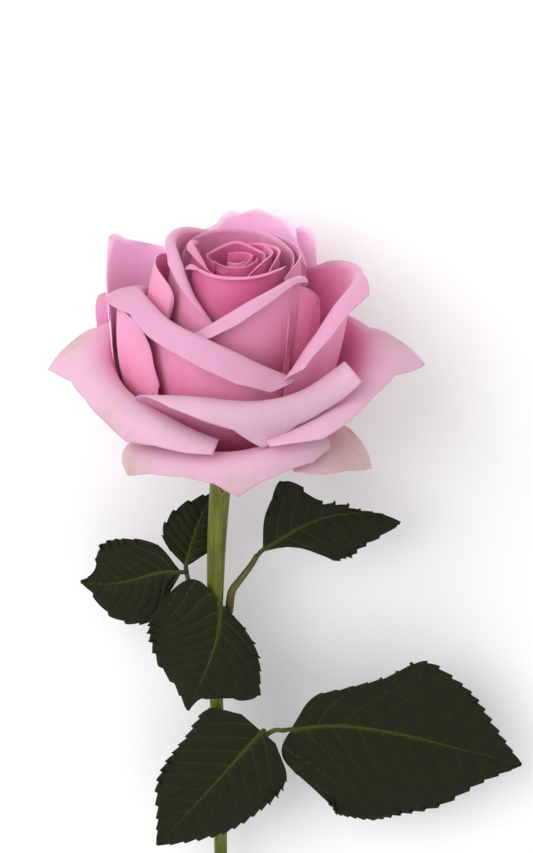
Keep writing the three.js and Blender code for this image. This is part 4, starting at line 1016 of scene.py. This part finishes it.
def build_leaves():
    """The leaf stalks, each with its leaflets."""
    foot_radii = [0.7, 1.35]
    seed = LEAF_SEED
    for leaf in LEAVES:
        base = leaf_base(leaf)
        stalk = leaf["stalk"]
        side = leaf["side"]
        # The foot of the stalk clasps the stem before it stands away.
        foot = [(-1.2 * side, -5.0, -0.2), (0.5 * side, -2.2, 0.2)]
        path = [np.array(p, float) + base for p in foot + stalk["path"]]
        radii = foot_radii + stalk["radii"]
        points, faces, ends, place = rod_mesh(path, radii, sides=20, steps=70)
        piece = add_mesh(stalk["name"] + "_skin", points, faces + ends, STALK_MATERIAL)
        write_attribute(piece, "rod_place", place)
        stand_for(piece, stalk["name"])
        for node, leaflet in leaf["leaflets"].items():
            build_leaflet(node, leaflet, base, seed)
            seed += 1


# ---- floor, camera and light ----
def build_floor():
    """A flat floor, far wider than the flower."""
    half = 2.0
    mesh = bpy.data.meshes.new("floor")
    corners = [(-half, -half, 0), (half, -half, 0), (half, half, 0), (-half, half, 0)]
    mesh.from_pydata(corners, [], [(0, 1, 2, 3)])
    mesh.materials.append(floor_material())
    floor = bpy.data.objects.new("floor", mesh)
    bpy.context.scene.collection.objects.link(floor)


def build_camera():
    """The camera looks down on the flower, 16 degrees forward of straight above."""
    distance, near, view_height, pitch = 0.8, 0.03, 0.25334, math.radians(16)
    aside, above, sensor = 0.0132, 0.004, 24
    back = np.array([0, math.sin(pitch), math.cos(pitch)])
    up = np.array([0, math.cos(pitch), -math.sin(pitch)])
    target = to_row(BLOOM_FOOT) + aside * SIDE + above * up
    data = bpy.data.cameras.new("camera")
    camera = bpy.data.objects.new("camera", data)
    bpy.context.scene.collection.objects.link(camera)
    bpy.context.scene.camera = camera
    camera.location = Vector(target + distance * back)
    camera.rotation_mode = "QUATERNION"
    turn = Matrix((Vector(SIDE), Vector(up), Vector(back))).transposed()
    camera.rotation_quaternion = turn.to_quaternion()
    data.sensor_fit = "VERTICAL"
    data.sensor_height = sensor
    data.lens = sensor * (distance - near) / view_height
    data.clip_end = 10


def add_light(name, place, size, power):
    """A square light at a place measured from the bloom's foot, and turned to face it."""
    data = bpy.data.lights.new(name, "AREA")
    data.size = size
    data.energy = power
    light = bpy.data.objects.new(name, data)
    bpy.context.scene.collection.objects.link(light)
    centre = Vector(to_row(BLOOM_FOOT))
    light.location = centre + Vector(place)
    light.rotation_mode = "QUATERNION"
    light.rotation_quaternion = Vector(place).to_track_quat("Z", "Y")


def build_light():
    """Even white light all round, and one large soft key light from the upper left."""
    surround = 0.90
    key_place, key_size, key_power = (-0.6, 0.5, 0.9), 0.9, 8.5
    world = bpy.data.worlds.new("studio")
    world.use_nodes = True
    background = world.node_tree.nodes["Background"]
    background.inputs["Color"].default_value = (1, 1, 1, 1)
    background.inputs["Strength"].default_value = surround
    bpy.context.scene.world = world
    add_light("key", key_place, key_size, key_power)
    bpy.context.scene.view_settings.view_transform = "Standard"


build_petals()
build_hip()
build_sepals()
build_stem()
build_leaves()
build_floor()
build_camera()
build_light()

bpy.context.view_layer.update()
